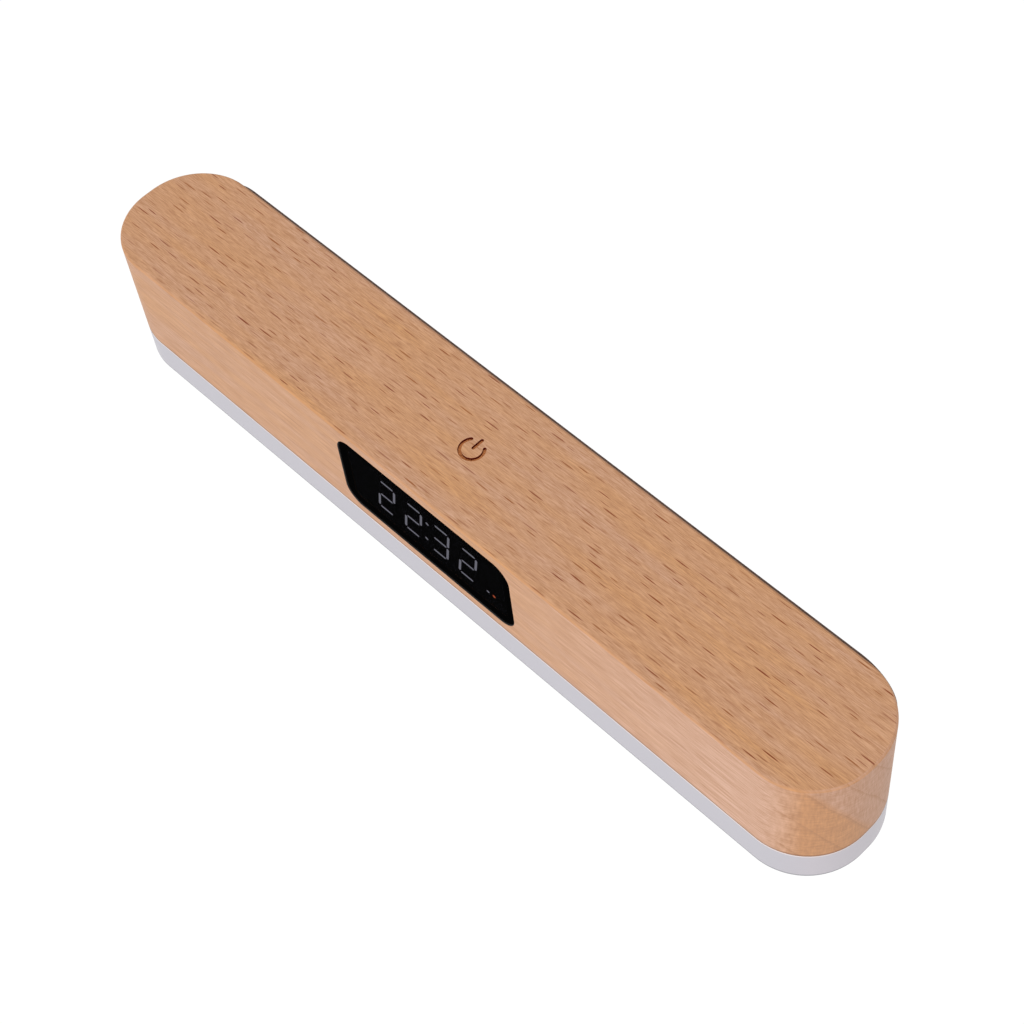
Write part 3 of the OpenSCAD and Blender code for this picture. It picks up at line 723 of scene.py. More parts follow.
@dataclass(frozen=True)
class MilkyAcrylic(Look):
    """Milk-white cast acrylic, sawn and matted: even and cool, with a painted highlight at its top rim and
    painted shade at its bottom one; its ends are painted lighter than its long faces.

    Args:
        name: Material and how its surface was made.
        face: Long faces.
        end: Round ends, painted lighter than the long faces to stand in for the light that scatters through
            the acrylic.
        rim: Painted highlight, the paler tone of faces that turn upwards such as the top edge.
        underside_shade: Painted shade along the lower edge.
        line_span: Heights between which that painted shade comes in.
        rough: Least and greatest roughness.
        marks: Size of the sanding marks along the bar.
        relief: Depth of those marks.
    """

    name: str = "milky_acrylic_cast_and_matted"
    face: str = "#BCB9C1"
    end: str = "#C5BFC6"
    rim: str = "#E8DFDF"
    underside_shade: str = "#7E7E84"
    line_span: tuple[float, float] = (-20.5, -20.95)
    rough: tuple[float, float] = (0.34, 0.42)
    marks: Point = (8.0, 0.4, 0.4)
    relief: float = 0.01

    def make(self) -> Material:
        """Builds the material.

        Returns:
            The new material.
        """
        material, add = bare_material(self.name)
        way = add("SeparateXYZ", add("TexCoord")["Normal"])
        # Painted light: the ends are painted lighter than the long faces
        share = add("MapRange", add("Math", way["Y"], operation="ABSOLUTE")[0], 0.7, 1.0)[0]
        colour = add("Mix", share, at={6: linear(self.end), 7: linear(self.face)}, data_type="RGBA")[2]
        # Painted shade: the downward-facing rounding at the bottom is painted grey
        height = add("SeparateXYZ", add("TexCoord")["Object"])["Z"]
        lower = add("MapRange", height, *(z * MM for z in self.line_span))[0]
        beside = add("MapRange", way["Z"], -0.85, -0.6)[0]
        lower = add("Math", lower, beside, operation="MULTIPLY")[0]
        # Painted highlight: faces that turn upwards are painted paler
        highlight = add("MapRange", way["Z"], 0.1, 0.5)[0]
        for share, shade in ((lower, self.underside_shade), (highlight, self.rim)):
            colour = add("Mix", share, at={6: colour, 7: linear(shade)}, data_type="RGBA")[2]
        marks = add("TexNoise", laid(add, self.marks), at={"Scale": 1.0, "Detail": 2.0})["Fac"]
        shader = add("BsdfPrincipled", at={
            "Base Color": colour,
            "Roughness": add("MapRange", marks, 0.0, 1.0, *self.rough)[0],
            "Normal": add("Bump", at={"Height": marks, "Distance": self.relief * MM})[0],
            "IOR": 1.49,
        })[0]
        add("OutputMaterial", shader)
        return material


@dataclass(frozen=True)
class SmokedAcrylic(Look):
    """Smoked acrylic, polished and coated against glare: black from outside, a tenth of the light passes.

    Args:
        name: Material and how its surface was made.
        tint: Colour that each of its two faces leaves of the light.
        ior: Refractive index.
        painted_glow: Strength of a painted glow, an even faint white light from the whole lens that stands
            in for the digits' light straying inside it.
        rough: Least and greatest roughness of the polish.
        wipe: Width of the polish's wiping marks.
    """

    name: str = "smoked_acrylic_polished"
    tint: str = "#95959A"
    ior: float = 1.49
    painted_glow: float = 0.0013
    rough: tuple[float, float] = (0.0, 0.02)
    wipe: float = 3.0

    def make(self) -> Material:
        """Builds the material.

        Returns:
            The new material.
        """
        material, add = bare_material(self.name)
        wiped = add("TexNoise", laid(add, [self.wipe] * 3), at={"Scale": 1.0, "Detail": 3.0})["Fac"]
        gloss = add("MapRange", wiped, 0.0, 1.0, *self.rough)[0]
        clear = add("BsdfRefraction", linear(self.tint), gloss, self.ior)[0]
        # Painted glow: the lens gives a faint even white light of its own
        painted_glow = add("Emission", linear(WHITE), self.painted_glow)[0]
        add("OutputMaterial", add("AddShader", clear, painted_glow)[0])
        return material


BEECH = OiledBeech()
SCORCHED_BEECH = ScorchedBeech()
MILKY_ACRYLIC = MilkyAcrylic()
SMOKED_ACRYLIC = SmokedAcrylic()
# Epoxy light guides: clear with white filler, lit or dark
LIT_EPOXY = Finish(
    "segment_epoxy_cast_lit", "#C9C9CE", "#B5B5BA", 0.5, Pattern.MOTTLE, (0.4, 0.5), 0.01,
    ior=1.52, glow="#F3F3F6", glow_strength=1.62,
)
DARK_EPOXY = Finish(
    "segment_epoxy_cast_dark", "#1B1B1D", "#131315", 0.5, Pattern.MOTTLE, (0.4, 0.5), 0.01, ior=1.52
)
AMBER_EPOXY = Finish(
    "status_epoxy_cast_amber", "#D08A6C", "#B87458", 0.4, Pattern.MOTTLE, (0.4, 0.5), 0.01,
    ior=1.52, glow="#FF7A48", glow_strength=4.0,
)
# Painted shade in the lens seat: near-black and dull, with faint brush marks
SEAT_SHADE = Finish(
    "beech_seat_painted_shade", "#121111", "#0B0A0A", 0.5, Pattern.BRUSHED, (0.55, 0.7), 0.02
)
# Moulded ABS: even and dull, with a fine pebble that is drawn coarser than real
BLACK_ABS = Finish("black_abs_spark_eroded", "#1E1E20", "#141416", 0.35, Pattern.CELLS, (0.5, 0.62), 0.03)
GREY_ABS = Finish("grey_abs_moulded", "#77797D", "#696B6F", 0.4, Pattern.CELLS, (0.38, 0.48), 0.015)
WHITE_ABS = Finish("white_abs_moulded", "#E4E2DC", "#D7D5CE", 0.5, Pattern.CELLS, (0.4, 0.5), 0.02)
# Ink wiped into an engraved mark: matt off-white
MARK_INK = Finish("white_ink_wiped_in", "#D9DADB", "#C6C7C9", 0.3, Pattern.MOTTLE, (0.55, 0.7), 0.01)
# Glass cloth under solder mask: green with the crossed threads showing faintly, 0.6 mm apart
FIBREGLASS = Finish(
    "fibreglass_board_masked_green", "#22633E", "#1B5434", 0.6, Pattern.WEAVE, (0.28, 0.36), 0.01
)
# Aluminium board with white mask: bright, slightly glossy
LIGHT_BOARD = Finish(
    "aluminium_board_masked_white", "#E8E8E4", "#DADAD5", 0.7, Pattern.MOTTLE, (0.3, 0.4), 0.01
)
# Phosphor in silicone: egg-yolk yellow, grainy
PHOSPHOR = Finish("phosphor_in_silicone_cast", "#EBCF58", "#DBBB42", 0.2, Pattern.CELLS, (0.35, 0.5), 0.02)
# Zinc plating on steel: bluish bright metal with fine drawn lines
ZINC_STEEL = Finish(
    "steel_zinc_plated", "#BFC4CB", "#A3A8B0", 0.2, Pattern.BRUSHED, (0.28, 0.42), 0.01, metallic=1.0
)
# Flash gold on nickel: warm, fairly sharp reflections
GOLD_PLATE = Finish(
    "contacts_gold_plated", "#E3BC63", "#CFA54E", 0.2, Pattern.MOTTLE, (0.2, 0.3), 0.005, metallic=1.0
)
# Moulding compound of chips: matt charcoal
CHIP_EPOXY = Finish("chip_compound_moulded", "#2A2B2E", "#1F2022", 0.15, Pattern.CELLS, (0.6, 0.72), 0.02)
# Rolled copper foil: salmon metal, slightly tarnished in clouds
COPPER = Finish(
    "copper_rolled", "#C98258", "#A9653F", 0.25, Pattern.BRUSHED, (0.3, 0.45), 0.01, metallic=1.0
)
# Heat-shrunk PVC: glossy blue with slight waves
BATTERY_SLEEVE = Finish(
    "pvc_sleeve_heat_shrunk", "#2F57A8", "#254A95", 3.0, Pattern.MOTTLE, (0.18, 0.28), 0.08
)
# Open-cell foam, die cut: dull black, full of pores
BLACK_FOAM = Finish(
    "polyurethane_foam_die_cut", "#2A2A2B", "#121213", 0.45, Pattern.CELLS, (0.85, 0.95), 0.2
)
# Silicone wire insulation, extruded: soft red
RED_SILICONE = Finish(
    "silicone_insulation_extruded", "#A82A24", "#93211C", 0.5, Pattern.BRUSHED, (0.4, 0.5), 0.01
)
# Nickel on deep-drawn steel: warm grey metal with fine drawing marks
NICKEL_STEEL = Finish(
    "steel_drawn_and_nickel_plated", "#C9C5BC", "#ADA9A0", 0.2, Pattern.BRUSHED, (0.22, 0.34), 0.01,
    metallic=1.0,
)
# Nickel on sintered magnets: bright, with faint clouds of wear
MAGNET_NICKEL = Finish(
    "magnet_nickel_plated", "#C4C2BD", "#B0AEA9", 2.5, Pattern.MOTTLE, (0.2, 0.32), 0.004, metallic=1.0
)
# Powder coat on steel sheet: dark brown, orange peel about 1 mm across
POWDER_COAT = Finish(
    "steel_sheet_powder_coated", "#52341F", "#432917", 1.0, Pattern.CELLS, (0.5, 0.62), 0.04
)
# Acrylic foam tape: light grey, dull, pitted at its cut sides
TAPE_FOAM = Finish("acrylic_foam_tape_slit", "#C3C3C0", "#B3B3B0", 0.5, Pattern.CELLS, (0.7, 0.85), 0.06)


# Sub-assemblies

LAMP = "lamp"
WALL_MOUNT = "wall_mount"
# Sizes and places that several pieces share
BAR = Plate(200.0, 30.0, 14.0, (0.0, -16.8), 32)
MIDDLE = BAR.centre[1]
FRONT = MIDDLE - BAR.height / 2
BACK = MIDDLE + BAR.height / 2
SEAM = -13.0
SEAM_EASE = 0.3
PORT_LEVEL = -2.77
SNAPS = (-60.0, 0.0, 60.0)
MAGNETS = (-75.0, -45.0, 45.0, 75.0)


def settle(piece: Piece, slot: str, look: Look, *nodes: str, body: str = LAMP) -> Piece:
    """Shades a piece, gives it its finish and fixes it to the frame.

    Args:
        piece: Piece in its place.
        slot: Not used.
        look: Finish, for a piece that has none yet.
        *nodes: Nodes of the frame that it stands for.
        body: Body that it moves with.
    Returns:
        The piece.
    """
    if not piece.data.materials:
        piece.data.materials.append(look.material())
    piece.data.shade_smooth()
    piece.data.set_sharp_from_angle(angle=CREASE)
    even = piece.modifiers.new("even shading", "WEIGHTED_NORMAL")
    even.keep_sharp = True
    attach(piece, body)
    if nodes:
        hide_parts(*nodes)
    LOG.info("built %s on %s, finish %s", piece.name, body, piece.data.materials[0].name)
    return piece


def dress(look: Look, *names: str) -> None:
    """Gives nodes that stay as they are a finish.

    Args:
        look: Finish.
        *names: Names of the nodes.
    """
    for name in names:
        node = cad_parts[name]
        node.data.materials.clear()
        node.data.materials.append(look.material())
        LOG.info("dressed %s in %s", name, look.name)


class SubAssembly:
    """Pieces that are built and dressed together."""

    def build(self) -> None:
        """Makes the pieces that stand for nodes of the frame."""

    def dress(self) -> None:
        """Gives the nodes that stay as they are their finishes."""


@dataclass
class WoodenBody(SubAssembly):
    """Beech bar, hollowed from below, with its window, panel and magnet seats and the burnt touch sign."""

    top: float = 13.0
    top_ease: float = 0.6
    rim: float = 3.0
    rim_chamfer: float = 0.1
    groove_in: float = 4.5
    groove_top: float = -8.7
    recess_top: float = -11.0
    hollow: Plate = Plate(180.0, 21.6, 4.0, BAR.centre, 32)
    hollow_top: float = 9.0
    lens_rebate: Plate = Plate(48.2, 20.7, 4.1, steps=20)
    lens_seat: float = -30.6
    panel_rebate: Plate = Plate(50.2, 10.2, 3.1, (0.0, PORT_LEVEL))
    panel_seat: float = -3.8
    pockets: tuple[Cut, ...] = (
        # Touch pocket, magnet pockets, screw holes and snap notches
        Cut(disc(14.0), Facing.UP, (8.0, 11.0), (BAR.centre,)),
        Cut(disc(10.2), Facing.BACK, (-4.9, BACK + 1), tuple(product(MAGNETS, (0.0,)))),
        Cut(
            disc(2.1, steps=4), Facing.UP, (-12.0, -3.9),
            tuple(product((-92.75, 92.75), (MIDDLE - 3.0, MIDDLE + 3.0))),
        ),
        Cut(
            Plate(8.6, 1.1, 0.1, steps=1), Facing.UP, (-11.25, -9.95),
            tuple(product(SNAPS, (MIDDLE - 12.0, MIDDLE + 12.0))),
        ),
    )
    openings: tuple[Cut, ...] = (
        # Window, port and clock screws
        Cut(Plate(44.0, 16.5, 2.0), Facing.BACK, (-31.0, -26.6)),
        Cut(Plate(46.0, 7.5, 1.0), Facing.BACK, (-7.0, -3.0), ((0.0, PORT_LEVEL),)),
        Cut(disc(1.5, steps=4), Facing.BACK, (-29.7, -27.0), tuple(product((-25.8, 25.8), (-5.0, 5.0)))),
    )
    sign_radius: float = 2.47
    sign_stroke: float = 0.75
    sign_bar: float = 3.1
    sign_gap: float = 48.0
    sign_depth: float = 0.6
    sign_middle: float = -17.2

    def build(self) -> None:
        """Makes the bar, cuts its seats and burns the sign."""
        rows = wall(self.top, SEAM, self.top_ease, SEAM_EASE) + [
            (SEAM, self.rim),
            (self.groove_top, self.rim),
            (self.groove_top, self.groove_in),
            (self.recess_top, self.groove_in),
        ]
        inside = [(self.recess_top, 0.0), (self.hollow_top, 0.0)]
        bar = skin("beech_bar", BAR.rings(Facing.UP, rows) + self.hollow.rings(Facing.UP, inside))
        for look in (BEECH, SCORCHED_BEECH, SEAT_SHADE):
            bar.data.materials.append(look.material())
        slope = self.rim_chamfer
        lens_rows = [(FRONT - 1, -slope - 1), (FRONT + slope, 0.0), (self.lens_seat, 0.0)]
        panel_rows = [(self.panel_seat, 0.0), (BACK - slope, 0.0), (BACK + 1, -slope - 1)]
        seats = [self.panel_rebate.stack("panel_rebate", Facing.BACK, panel_rows)]
        seats += [tool for cut in self.pockets for tool in cut.tools()]
        holes = [tool for cut in self.openings for tool in cut.tools()]
        rebate = self.lens_rebate.stack("lens_rebate", Facing.BACK, lens_rows)
        # The lens seat takes the painted shade in the third finish slot
        work(bar, Joinery.TAKE, [rebate], finish_slot=2)
        work(bar, Joinery.TAKE, seats)
        work(bar, Joinery.TAKE, holes)
        work(bar, Joinery.TAKE, self.sign(), finish_slot=1)
        settle(bar, "beech", BEECH, "wooden_body")

    def sign(self) -> list[Piece]:
        """Tools for the touch sign.

        Returns:
            An open ring and a bar, both with round ends.
        """
        levels = (self.top - self.sign_depth, self.top + 1)
        half = self.sign_stroke / 2
        first = math.radians(90 + self.sign_gap)
        sweep = math.radians(360 - 2 * self.sign_gap)
        arc = [first + sweep * k / 48 for k in range(49)]
        cap = [math.pi * k / 8 for k in range(1, 8)]
        ring = [self.about(a, self.sign_radius + half) for a in arc]
        ring += [self.round_end(arc[-1], arc[-1] + c, half) for c in cap]
        ring += [self.about(a, self.sign_radius - half) for a in reversed(arc)]
        ring += [self.round_end(arc[0], arc[0] + math.pi + c, half) for c in cap]
        middle = (0.0, self.sign_middle + self.sign_bar / 2)
        bar = Plate(self.sign_stroke, self.sign_bar, half, middle, 6).outline()
        return [
            skin(name, [[Facing.UP.place(spot, level) for spot in spots] for level in levels])
            for name, spots in (("sign_ring", ring), ("sign_bar", bar))
        ]

    def about(self, angle: float, radius: float) -> Spot:
        """Spot round the middle of the sign."""
        return (radius * math.cos(angle), self.sign_middle + radius * math.sin(angle))

    def round_end(self, angle: float, turn: float, radius: float) -> Spot:
        """Spot round the end of the sign's ring at an angle."""
        x, y = self.about(angle, self.sign_radius)
        return (x + radius * math.cos(turn), y + radius * math.sin(turn))


@dataclass
class LightBar(SubAssembly):
    """Milky tray under the wood, with a skirt that snaps into it, and the light strip above it."""

    bottom: float = -22.0
    bottom_ease: float = 1.2
    skirt_out: float = 3.15
    skirt_in: float = 4.35
    skirt_top: float = -9.0
    skirt_chamfer: float = 0.2
    floor_top: float = -20.0
    floor_fillet: float = 0.6
    bead: Plate = Plate(8.0, 0.8, 0.1, steps=1)
    bead_reach: float = 11.85
    bead_bottom: float = -11.1
    bead_top: float = -10.1
    bead_ease: float = 0.15

    def build(self) -> None:
        """Makes the tray with its skirt and beads."""
        bevel = self.skirt_chamfer
        fillet = self.floor_fillet
        slight = 0.3 * fillet
        rows = wall(self.bottom, SEAM, self.bottom_ease, SEAM_EASE, 7)
        skirt = [(SEAM, 0.0), (self.skirt_top - bevel, 0.0), (self.skirt_top, bevel)]
        rows += drawn_in(skirt, self.skirt_out)
        inner = [(self.skirt_top, -bevel), (self.skirt_top - bevel, 0.0)]
        floor = self.floor_top
        inner += [(floor + fillet, 0.0), (floor + slight, slight), (floor, fillet)]
        tray = BAR.stack("milky_tray", Facing.UP, rows + drawn_in(inner, self.skirt_in))
        profile = wall(self.bead_bottom, self.bead_top, self.bead_ease, self.bead_ease, 2)
        sides = (MIDDLE - self.bead_reach, MIDDLE + self.bead_reach)
        beads = [self.bead.at(spot).stack("bead", Facing.UP, profile) for spot in product(SNAPS, sides)]
        work(tray, Joinery.ADD, beads)
        settle(tray, "milky_acrylic", MILKY_ACRYLIC, "diffuser")

    def dress(self) -> None:
        """Finishes of the strip, its carrier and their screws."""
        dress(WHITE_ABS, "chassis")
        dress(LIGHT_BOARD, "strip_board")
        dress(PHOSPHOR, "strip_emitters")
        dress(ZINC_STEEL, "strip_screws", "chassis_screws")


class Stroke(Enum):
    """Stroke of a digit: its two ends in half widths and half heights from the digit's middle."""

    TOP = ((-1, 1), (1, 1))
    MIDDLE = ((-1, 0), (1, 0))
    BOTTOM = ((-1, -1), (1, -1))
    LEFT_HIGH = ((-1, 1), (-1, 0))
    LEFT_LOW = ((-1, -1), (-1, 0))
    RIGHT_HIGH = ((1, 1), (1, 0))
    RIGHT_LOW = ((1, -1), (1, 0))


FLAT_STROKES = {Stroke.TOP, Stroke.MIDDLE, Stroke.BOTTOM}
DIGITS = {
    "2": FLAT_STROKES | {Stroke.RIGHT_HIGH, Stroke.LEFT_LOW},
    "3": FLAT_STROKES | {Stroke.RIGHT_HIGH, Stroke.RIGHT_LOW},
}


@dataclass
class ClockWindow(SubAssembly):
    """Smoked lens with the digits and status lights behind it."""

    lens: Plate = Plate(48.0, 20.5, 4.0, steps=20)
    lens_face: float = -31.6
    lens_back: float = -30.6
    lens_face_ease: float = 0.3
    lens_back_ease: float = 0.1
    block_face: float = -30.5
    insert_back: float = -29.3
    digit_size: Spot = (4.2, 10.1)
    pitch: float = 7.7
    stroke_width: float = 0.7
    stroke_gap: float = 0.25
    stroke_bevel: float = 0.08
    slant: float = 10.0
    dome: tuple[Row, ...] = ((0.12, 0.0), (0.04, 0.1), (0.0, 0.3))
    colon_rise: float = 3.1
    colon_size: float = 1.0
    status_size: float = 0.9
    status_level: float = -4.2
    status_places: tuple[float, float, float] = (16.6, 18.3, 20.0)
    shown: str = "2232"

    def build(self) -> None:
        """Makes the lens, the strokes and the dots."""
        rows = wall(self.lens_face, self.lens_back, self.lens_face_ease, self.lens_back_ease)
        lens = self.lens.stack("smoked_lens", Facing.BACK, rows)
        settle(lens, "smoked_acrylic", SMOKED_ACRYLIC, "display_lens")
        on = [self.dot("dot", self.lean((0.0, side * self.colon_rise)), self.colon_size) for side in (-1, 1)]
        off = []
        for place, digit in enumerate(self.shown):
            for stroke in Stroke:
                bars = on if stroke in DIGITS[digit] else off
                bars.append(self.bar(stroke, (place - (len(self.shown) - 1) / 2) * self.pitch))
        settle(joined("lit_strokes", on), "segment_epoxy", LIT_EPOXY, "digit_segments")
        settle(joined("dark_strokes", off), "segment_epoxy", DARK_EPOXY, "digit_segments")
        lights = (("power_light", LIT_EPOXY), ("charge_light", AMBER_EPOXY), ("alarm_light", DARK_EPOXY))
        for x, (name, look) in zip(self.status_places, lights):
            light = self.dot(name, (x, self.status_level), self.status_size)
            settle(light, "status_epoxy", look, "status_lights")

    def dress(self) -> None:
        """Finishes of the clock module behind the lens."""
        dress(BLACK_ABS, "digit_block")
        dress(FIBREGLASS, "clock_board")
        dress(PHOSPHOR, "segment_emitters")
        dress(ZINC_STEEL, "clock_screws")

    def lean(self, spot: Spot) -> Spot:
        """Spot after the slant of the digits."""
        return (spot[0] + spot[1] * math.tan(math.radians(self.slant)), spot[1])

    def dot(self, name: str, centre: Spot, diameter: float) -> Piece:
        """Round light insert with a slightly domed face.

        Args:
            name: Name of the insert.
            centre: Its middle.
            diameter: Its size.
        Returns:
            The insert.
        """
        rows = [(self.insert_back, 0.0)]
        rows += [(self.block_face + depth, share * diameter) for depth, share in self.dome]
        return disc(diameter, centre, 6).stack(name, Facing.BACK, rows)

    def bar(self, stroke: Stroke, x: float) -> Piece:
        """Light insert of one stroke: a bar with pointed ends and a bevelled face.

        Args:
            stroke: Which stroke it is.
            x: Middle of its digit.
        Returns:
            The insert.
        """
        start, end = (
            Vector((u * self.digit_size[0] / 2, v * self.digit_size[1] / 2)) for u, v in stroke.value
        )
        along = (end - start).normalized()
        across = Vector((-along.y, along.x))
        bevel = self.stroke_bevel
        face = self.block_face
        rings = []
        for level, inset in ((self.insert_back, 0.0), (face + bevel, 0.0), (face, bevel)):
            half = self.stroke_width / 2 - inset
            first = start + along * (self.stroke_gap + inset)
            last = end - along * (self.stroke_gap + inset)
            spots = [
                first,
                first + half * (along + across),
                last + half * (across - along),
                last,
                last - half * (along + across),
                first + half * (along - across),
            ]
            rings.append([Facing.BACK.place((x + u, v), level) for u, v in map(self.lean, spots)])
        return skin("stroke", rings)


@dataclass
class Electronics(SubAssembly):
    """Boards, battery and touch sensor inside the bar."""

    foam: Plate = Plate(36.0, 8.0, 0.6, (63.2, MIDDLE), 6)
    foam_rows: tuple[Row, ...] = ((8.1, 0.25), (8.25, 0.05), (8.55, 0.0), (8.85, 0.05), (9.0, 0.25))

    def build(self) -> None:
        """Makes the foam pad between cell and wood."""
        pad = self.foam.stack("cell_foam_pad", Facing.UP, self.foam_rows)
        settle(pad, "black_foam", BLACK_FOAM, "battery_foam")

    def dress(self) -> None:
        """Finishes of what is inside."""
        dress(FIBREGLASS, "main_board")
        dress(CHIP_EPOXY, "board_chips", "switch_bodies")
        dress(ZINC_STEEL, "board_screws")
        dress(GOLD_PLATE, "header_pins", "touch_spring")
        dress(COPPER, "touch_pad")
        dress(BATTERY_SLEEVE, "battery_cell")
        dress(RED_SILICONE, "battery_leads", "strip_leads")
        dress(BLACK_ABS, "set_plunger", "plus_plunger", "minus_plunger")


class Key(Enum):
    """Push button of the panel, in order along X."""

    SET = "set"
    PLUS = "plus"
    MINUS = "minus"


@dataclass
class ServicePanel(SubAssembly):
    """Panel in the back with three push buttons and the charging socket."""

    panel: Plate = Plate(50.0, 10.0, 3.0, (0.0, PORT_LEVEL), 16)
    panel_back: float = -3.8
    panel_face: float = -2.2
    panel_ease: float = 0.25
    mouth_chamfer: float = 0.15
    first_button: float = -15.0
    button_pitch: float = 8.5
    button_size: float = 5.0
    button_gap: float = 0.12
    button_face: float = -2.0
    button_ease: float = 0.4
    flange_size: float = 6.4
    flange_back: float = -4.7
    flange_face: float = -3.9
    flange_ease: float = 0.1
    dish: float = 0.12
    dish_shares: tuple[float, ...] = tuple(step / 6.2 for step in range(1, 7))
    mark_depth: float = 0.15
    mark_ring: tuple[float, float] = (2.2, 1.4)
    mark_bar: Spot = (2.4, 0.45)
    mark_round: float = 0.2
    socket_x: float = 13.0
    socket: Spot = (8.94, 3.26)
    socket_gap: float = 0.15
    socket_back: float = -9.55
    socket_back_ease: float = 0.3
    socket_floor: float = -8.55
    socket_wall: float = 0.3
    socket_lip: float = 0.12
    tongue: Spot = (6.6, 0.7)
    tongue_round: float = 0.12
    tongue_face: float = -3.95
    tongue_ease: float = 0.2
    contacts: int = 12
    contact_pitch: float = 0.5
    contact: Plate = Plate(0.28, 3.6, 0.1, steps=3)
    contact_sunk: float = 0.02
    contact_proud: float = 0.04
    contact_ease: float = 0.02

    def build(self) -> None:
        """Makes the panel, the buttons and the socket."""
        rows = wall(self.panel_back, self.panel_face, 0.0, self.panel_ease)
        panel = self.panel.stack("rear_panel", Facing.BACK, rows)
        slope = self.mouth_chamfer
        face = self.panel_face
        mouth = [(self.panel_back - 1, 0.0), (face - slope, 0.0), (face + 1, -1 - slope)]
        spots = [(self.first_button + k * self.button_pitch, PORT_LEVEL) for k in range(len(Key))]
        hole = disc(self.button_size + 2 * self.button_gap)
        tools = [hole.at(spot).stack("hole", Facing.BACK, mouth) for spot in spots]
        slot = Plate(*self.socket, self.socket[1] / 2, (self.socket_x, PORT_LEVEL))
        tools.append(slot.stack("hole", Facing.BACK, drawn_in(mouth, -self.socket_gap)))
        work(panel, Joinery.TAKE, tools)
        settle(panel, "black_abs", BLACK_ABS, "service_panel")
        for key, spot in zip(Key, spots):
            self.button(key, spot)
        self.charging_socket()

    def button(self, key: Key, spot: Spot) -> None:
        """Makes one button: a flanged cap with a dished face and its mark.

        Args:
            key: Which button it is.
            spot: Its middle.
        """
        rim = (self.flange_size - self.button_size) / 2
        rows = wall(self.flange_back, self.flange_face, self.flange_ease, self.flange_ease, 3)
        rows += drawn_in(wall(self.flange_face, self.button_face, 0.0, self.button_ease), rim)
        bowl = self.button_size / 2 - self.button_ease
        for share in self.dish_shares:
            sunk = self.dish * (1 - (1 - share) ** 2)
            rows.append((self.button_face - sunk, rim + self.button_ease + bowl * share))
        cap = disc(self.flange_size, spot).stack(f"{key.value}_cap", Facing.BACK, rows)
        for look in (GREY_ABS, MARK_INK):
            cap.data.materials.append(look.material())
        work(cap, Joinery.TAKE, [self.mark(key, spot)], finish_slot=1)
        settle(cap, "grey_abs", GREY_ABS, f"{key.value}_button", body=f"{key.value}_key")

    def mark(self, key: Key, spot: Spot) -> Piece:
        """Tool for a button's mark.

        Args:
            key: Which button it is.
            spot: Its middle.
        Returns:
            A ring, a cross or a bar.
        """
        rows = [(self.button_face - self.dish - self.mark_depth, 0.0), (self.button_face + 1, 0.0)]
        if key is Key.SET:
            outer, inner = (disc(size, spot) for size in self.mark_ring)
            ring = outer.stack("mark", Facing.BACK, rows)
            core = inner.stack("core", Facing.BACK, [(self.flange_back, 0.0), (1.0, 0.0)])
            work(ring, Joinery.TAKE, [core])
            return ring
        length, width = self.mark_bar
        bar = Plate(length, width, self.mark_round, spot, 4).stack("mark", Facing.BACK, rows)
        if key is Key.PLUS:
            upright = Plate(width, length, self.mark_round, spot, 4)
            work(bar, Joinery.ADD, [upright.stack("mark", Facing.BACK, rows)])
        return bar

    def charging_socket(self) -> None:
        """Makes the socket's shell with its rolled lip, its tongue and the contacts on it."""
        spot = (self.socket_x, PORT_LEVEL)
        rows = wall(self.socket_back, self.panel_face, self.socket_back_ease, self.socket_lip, 4)
        inner = wall(self.panel_face, self.socket_floor, self.socket_lip, 0.0, 4)
        rows += [(level, self.socket_wall - inset) for level, inset in inner]
        shell = Plate(*self.socket, self.socket[1] / 2, spot, 14).stack("socket_shell", Facing.BACK, rows)
        settle(shell, "nickel_steel", NICKEL_STEEL, "usb_shell")
        rows = wall(self.socket_floor, self.tongue_face, 0.0, self.tongue_ease, 4)
        tongue = Plate(*self.tongue, self.tongue_round, spot, 4).stack("socket_tongue", Facing.BACK, rows)
        settle(tongue, "black_abs", BLACK_ABS, "usb_tongue")
        strips = []
        middle = (self.socket_floor + self.tongue_face) / 2
        for place, side in product(range(self.contacts), (-1, 1)):
            x = self.socket_x + (place - (self.contacts - 1) / 2) * self.contact_pitch
            face = PORT_LEVEL + side * self.tongue[1] / 2
            ends = (face - side * self.contact_sunk, face + side * self.contact_proud)
            strip = self.contact.at((x, middle))
            strips.append(strip.stack("strip", Facing.UP, wall(*ends, 0.0, self.contact_ease, 2)))
        settle(joined("socket_contacts", strips), "gold_plate", GOLD_PLATE)


@dataclass
class WallHolder(SubAssembly):
    """Steel plate on the wall, its foam tape, and the magnets in the bar that cling to it."""

    plate: Plate = Plate(185.0, 23.8, 9.0, steps=16)
    plate_front: float = -1.8
    plate_back: float = -1.0
    plate_ease: float = 0.2
    tape: Plate = Plate(177.0, 15.8, 2.0, steps=8)
    tape_rows: tuple[Row, ...] = ((-1.0, 0.15), (-0.78, 0.04), (-0.5, 0.0), (-0.22, 0.04), (0.0, 0.15))
    magnet_size: float = 10.0
    magnet_front: float = -4.9
    magnet_back: float = -1.9
    magnet_ease: float = 0.35

    def build(self) -> None:
        """Makes plate, tape and magnets."""
        rows = wall(self.plate_front, self.plate_back, self.plate_ease, self.plate_ease, 4)
        plate = self.plate.stack("steel_plate", Facing.BACK, rows)
        settle(plate, "plate_steel", POWDER_COAT, "wall_plate", body=WALL_MOUNT)
        tape = self.tape.stack("foam_tape", Facing.BACK, self.tape_rows)
        settle(tape, "tape_foam", TAPE_FOAM, "mounting_tape", body=WALL_MOUNT)
        rows = wall(self.magnet_front, self.magnet_back, self.magnet_ease, self.magnet_ease, 4)
        for number, x in enumerate(MAGNETS, 1):
            magnet = disc(self.magnet_size, (x, 0.0), 14).stack(f"disc_magnet_{number}", Facing.BACK, rows)
            settle(magnet, "magnet_nickel", MAGNET_NICKEL, "magnets")


# Studio

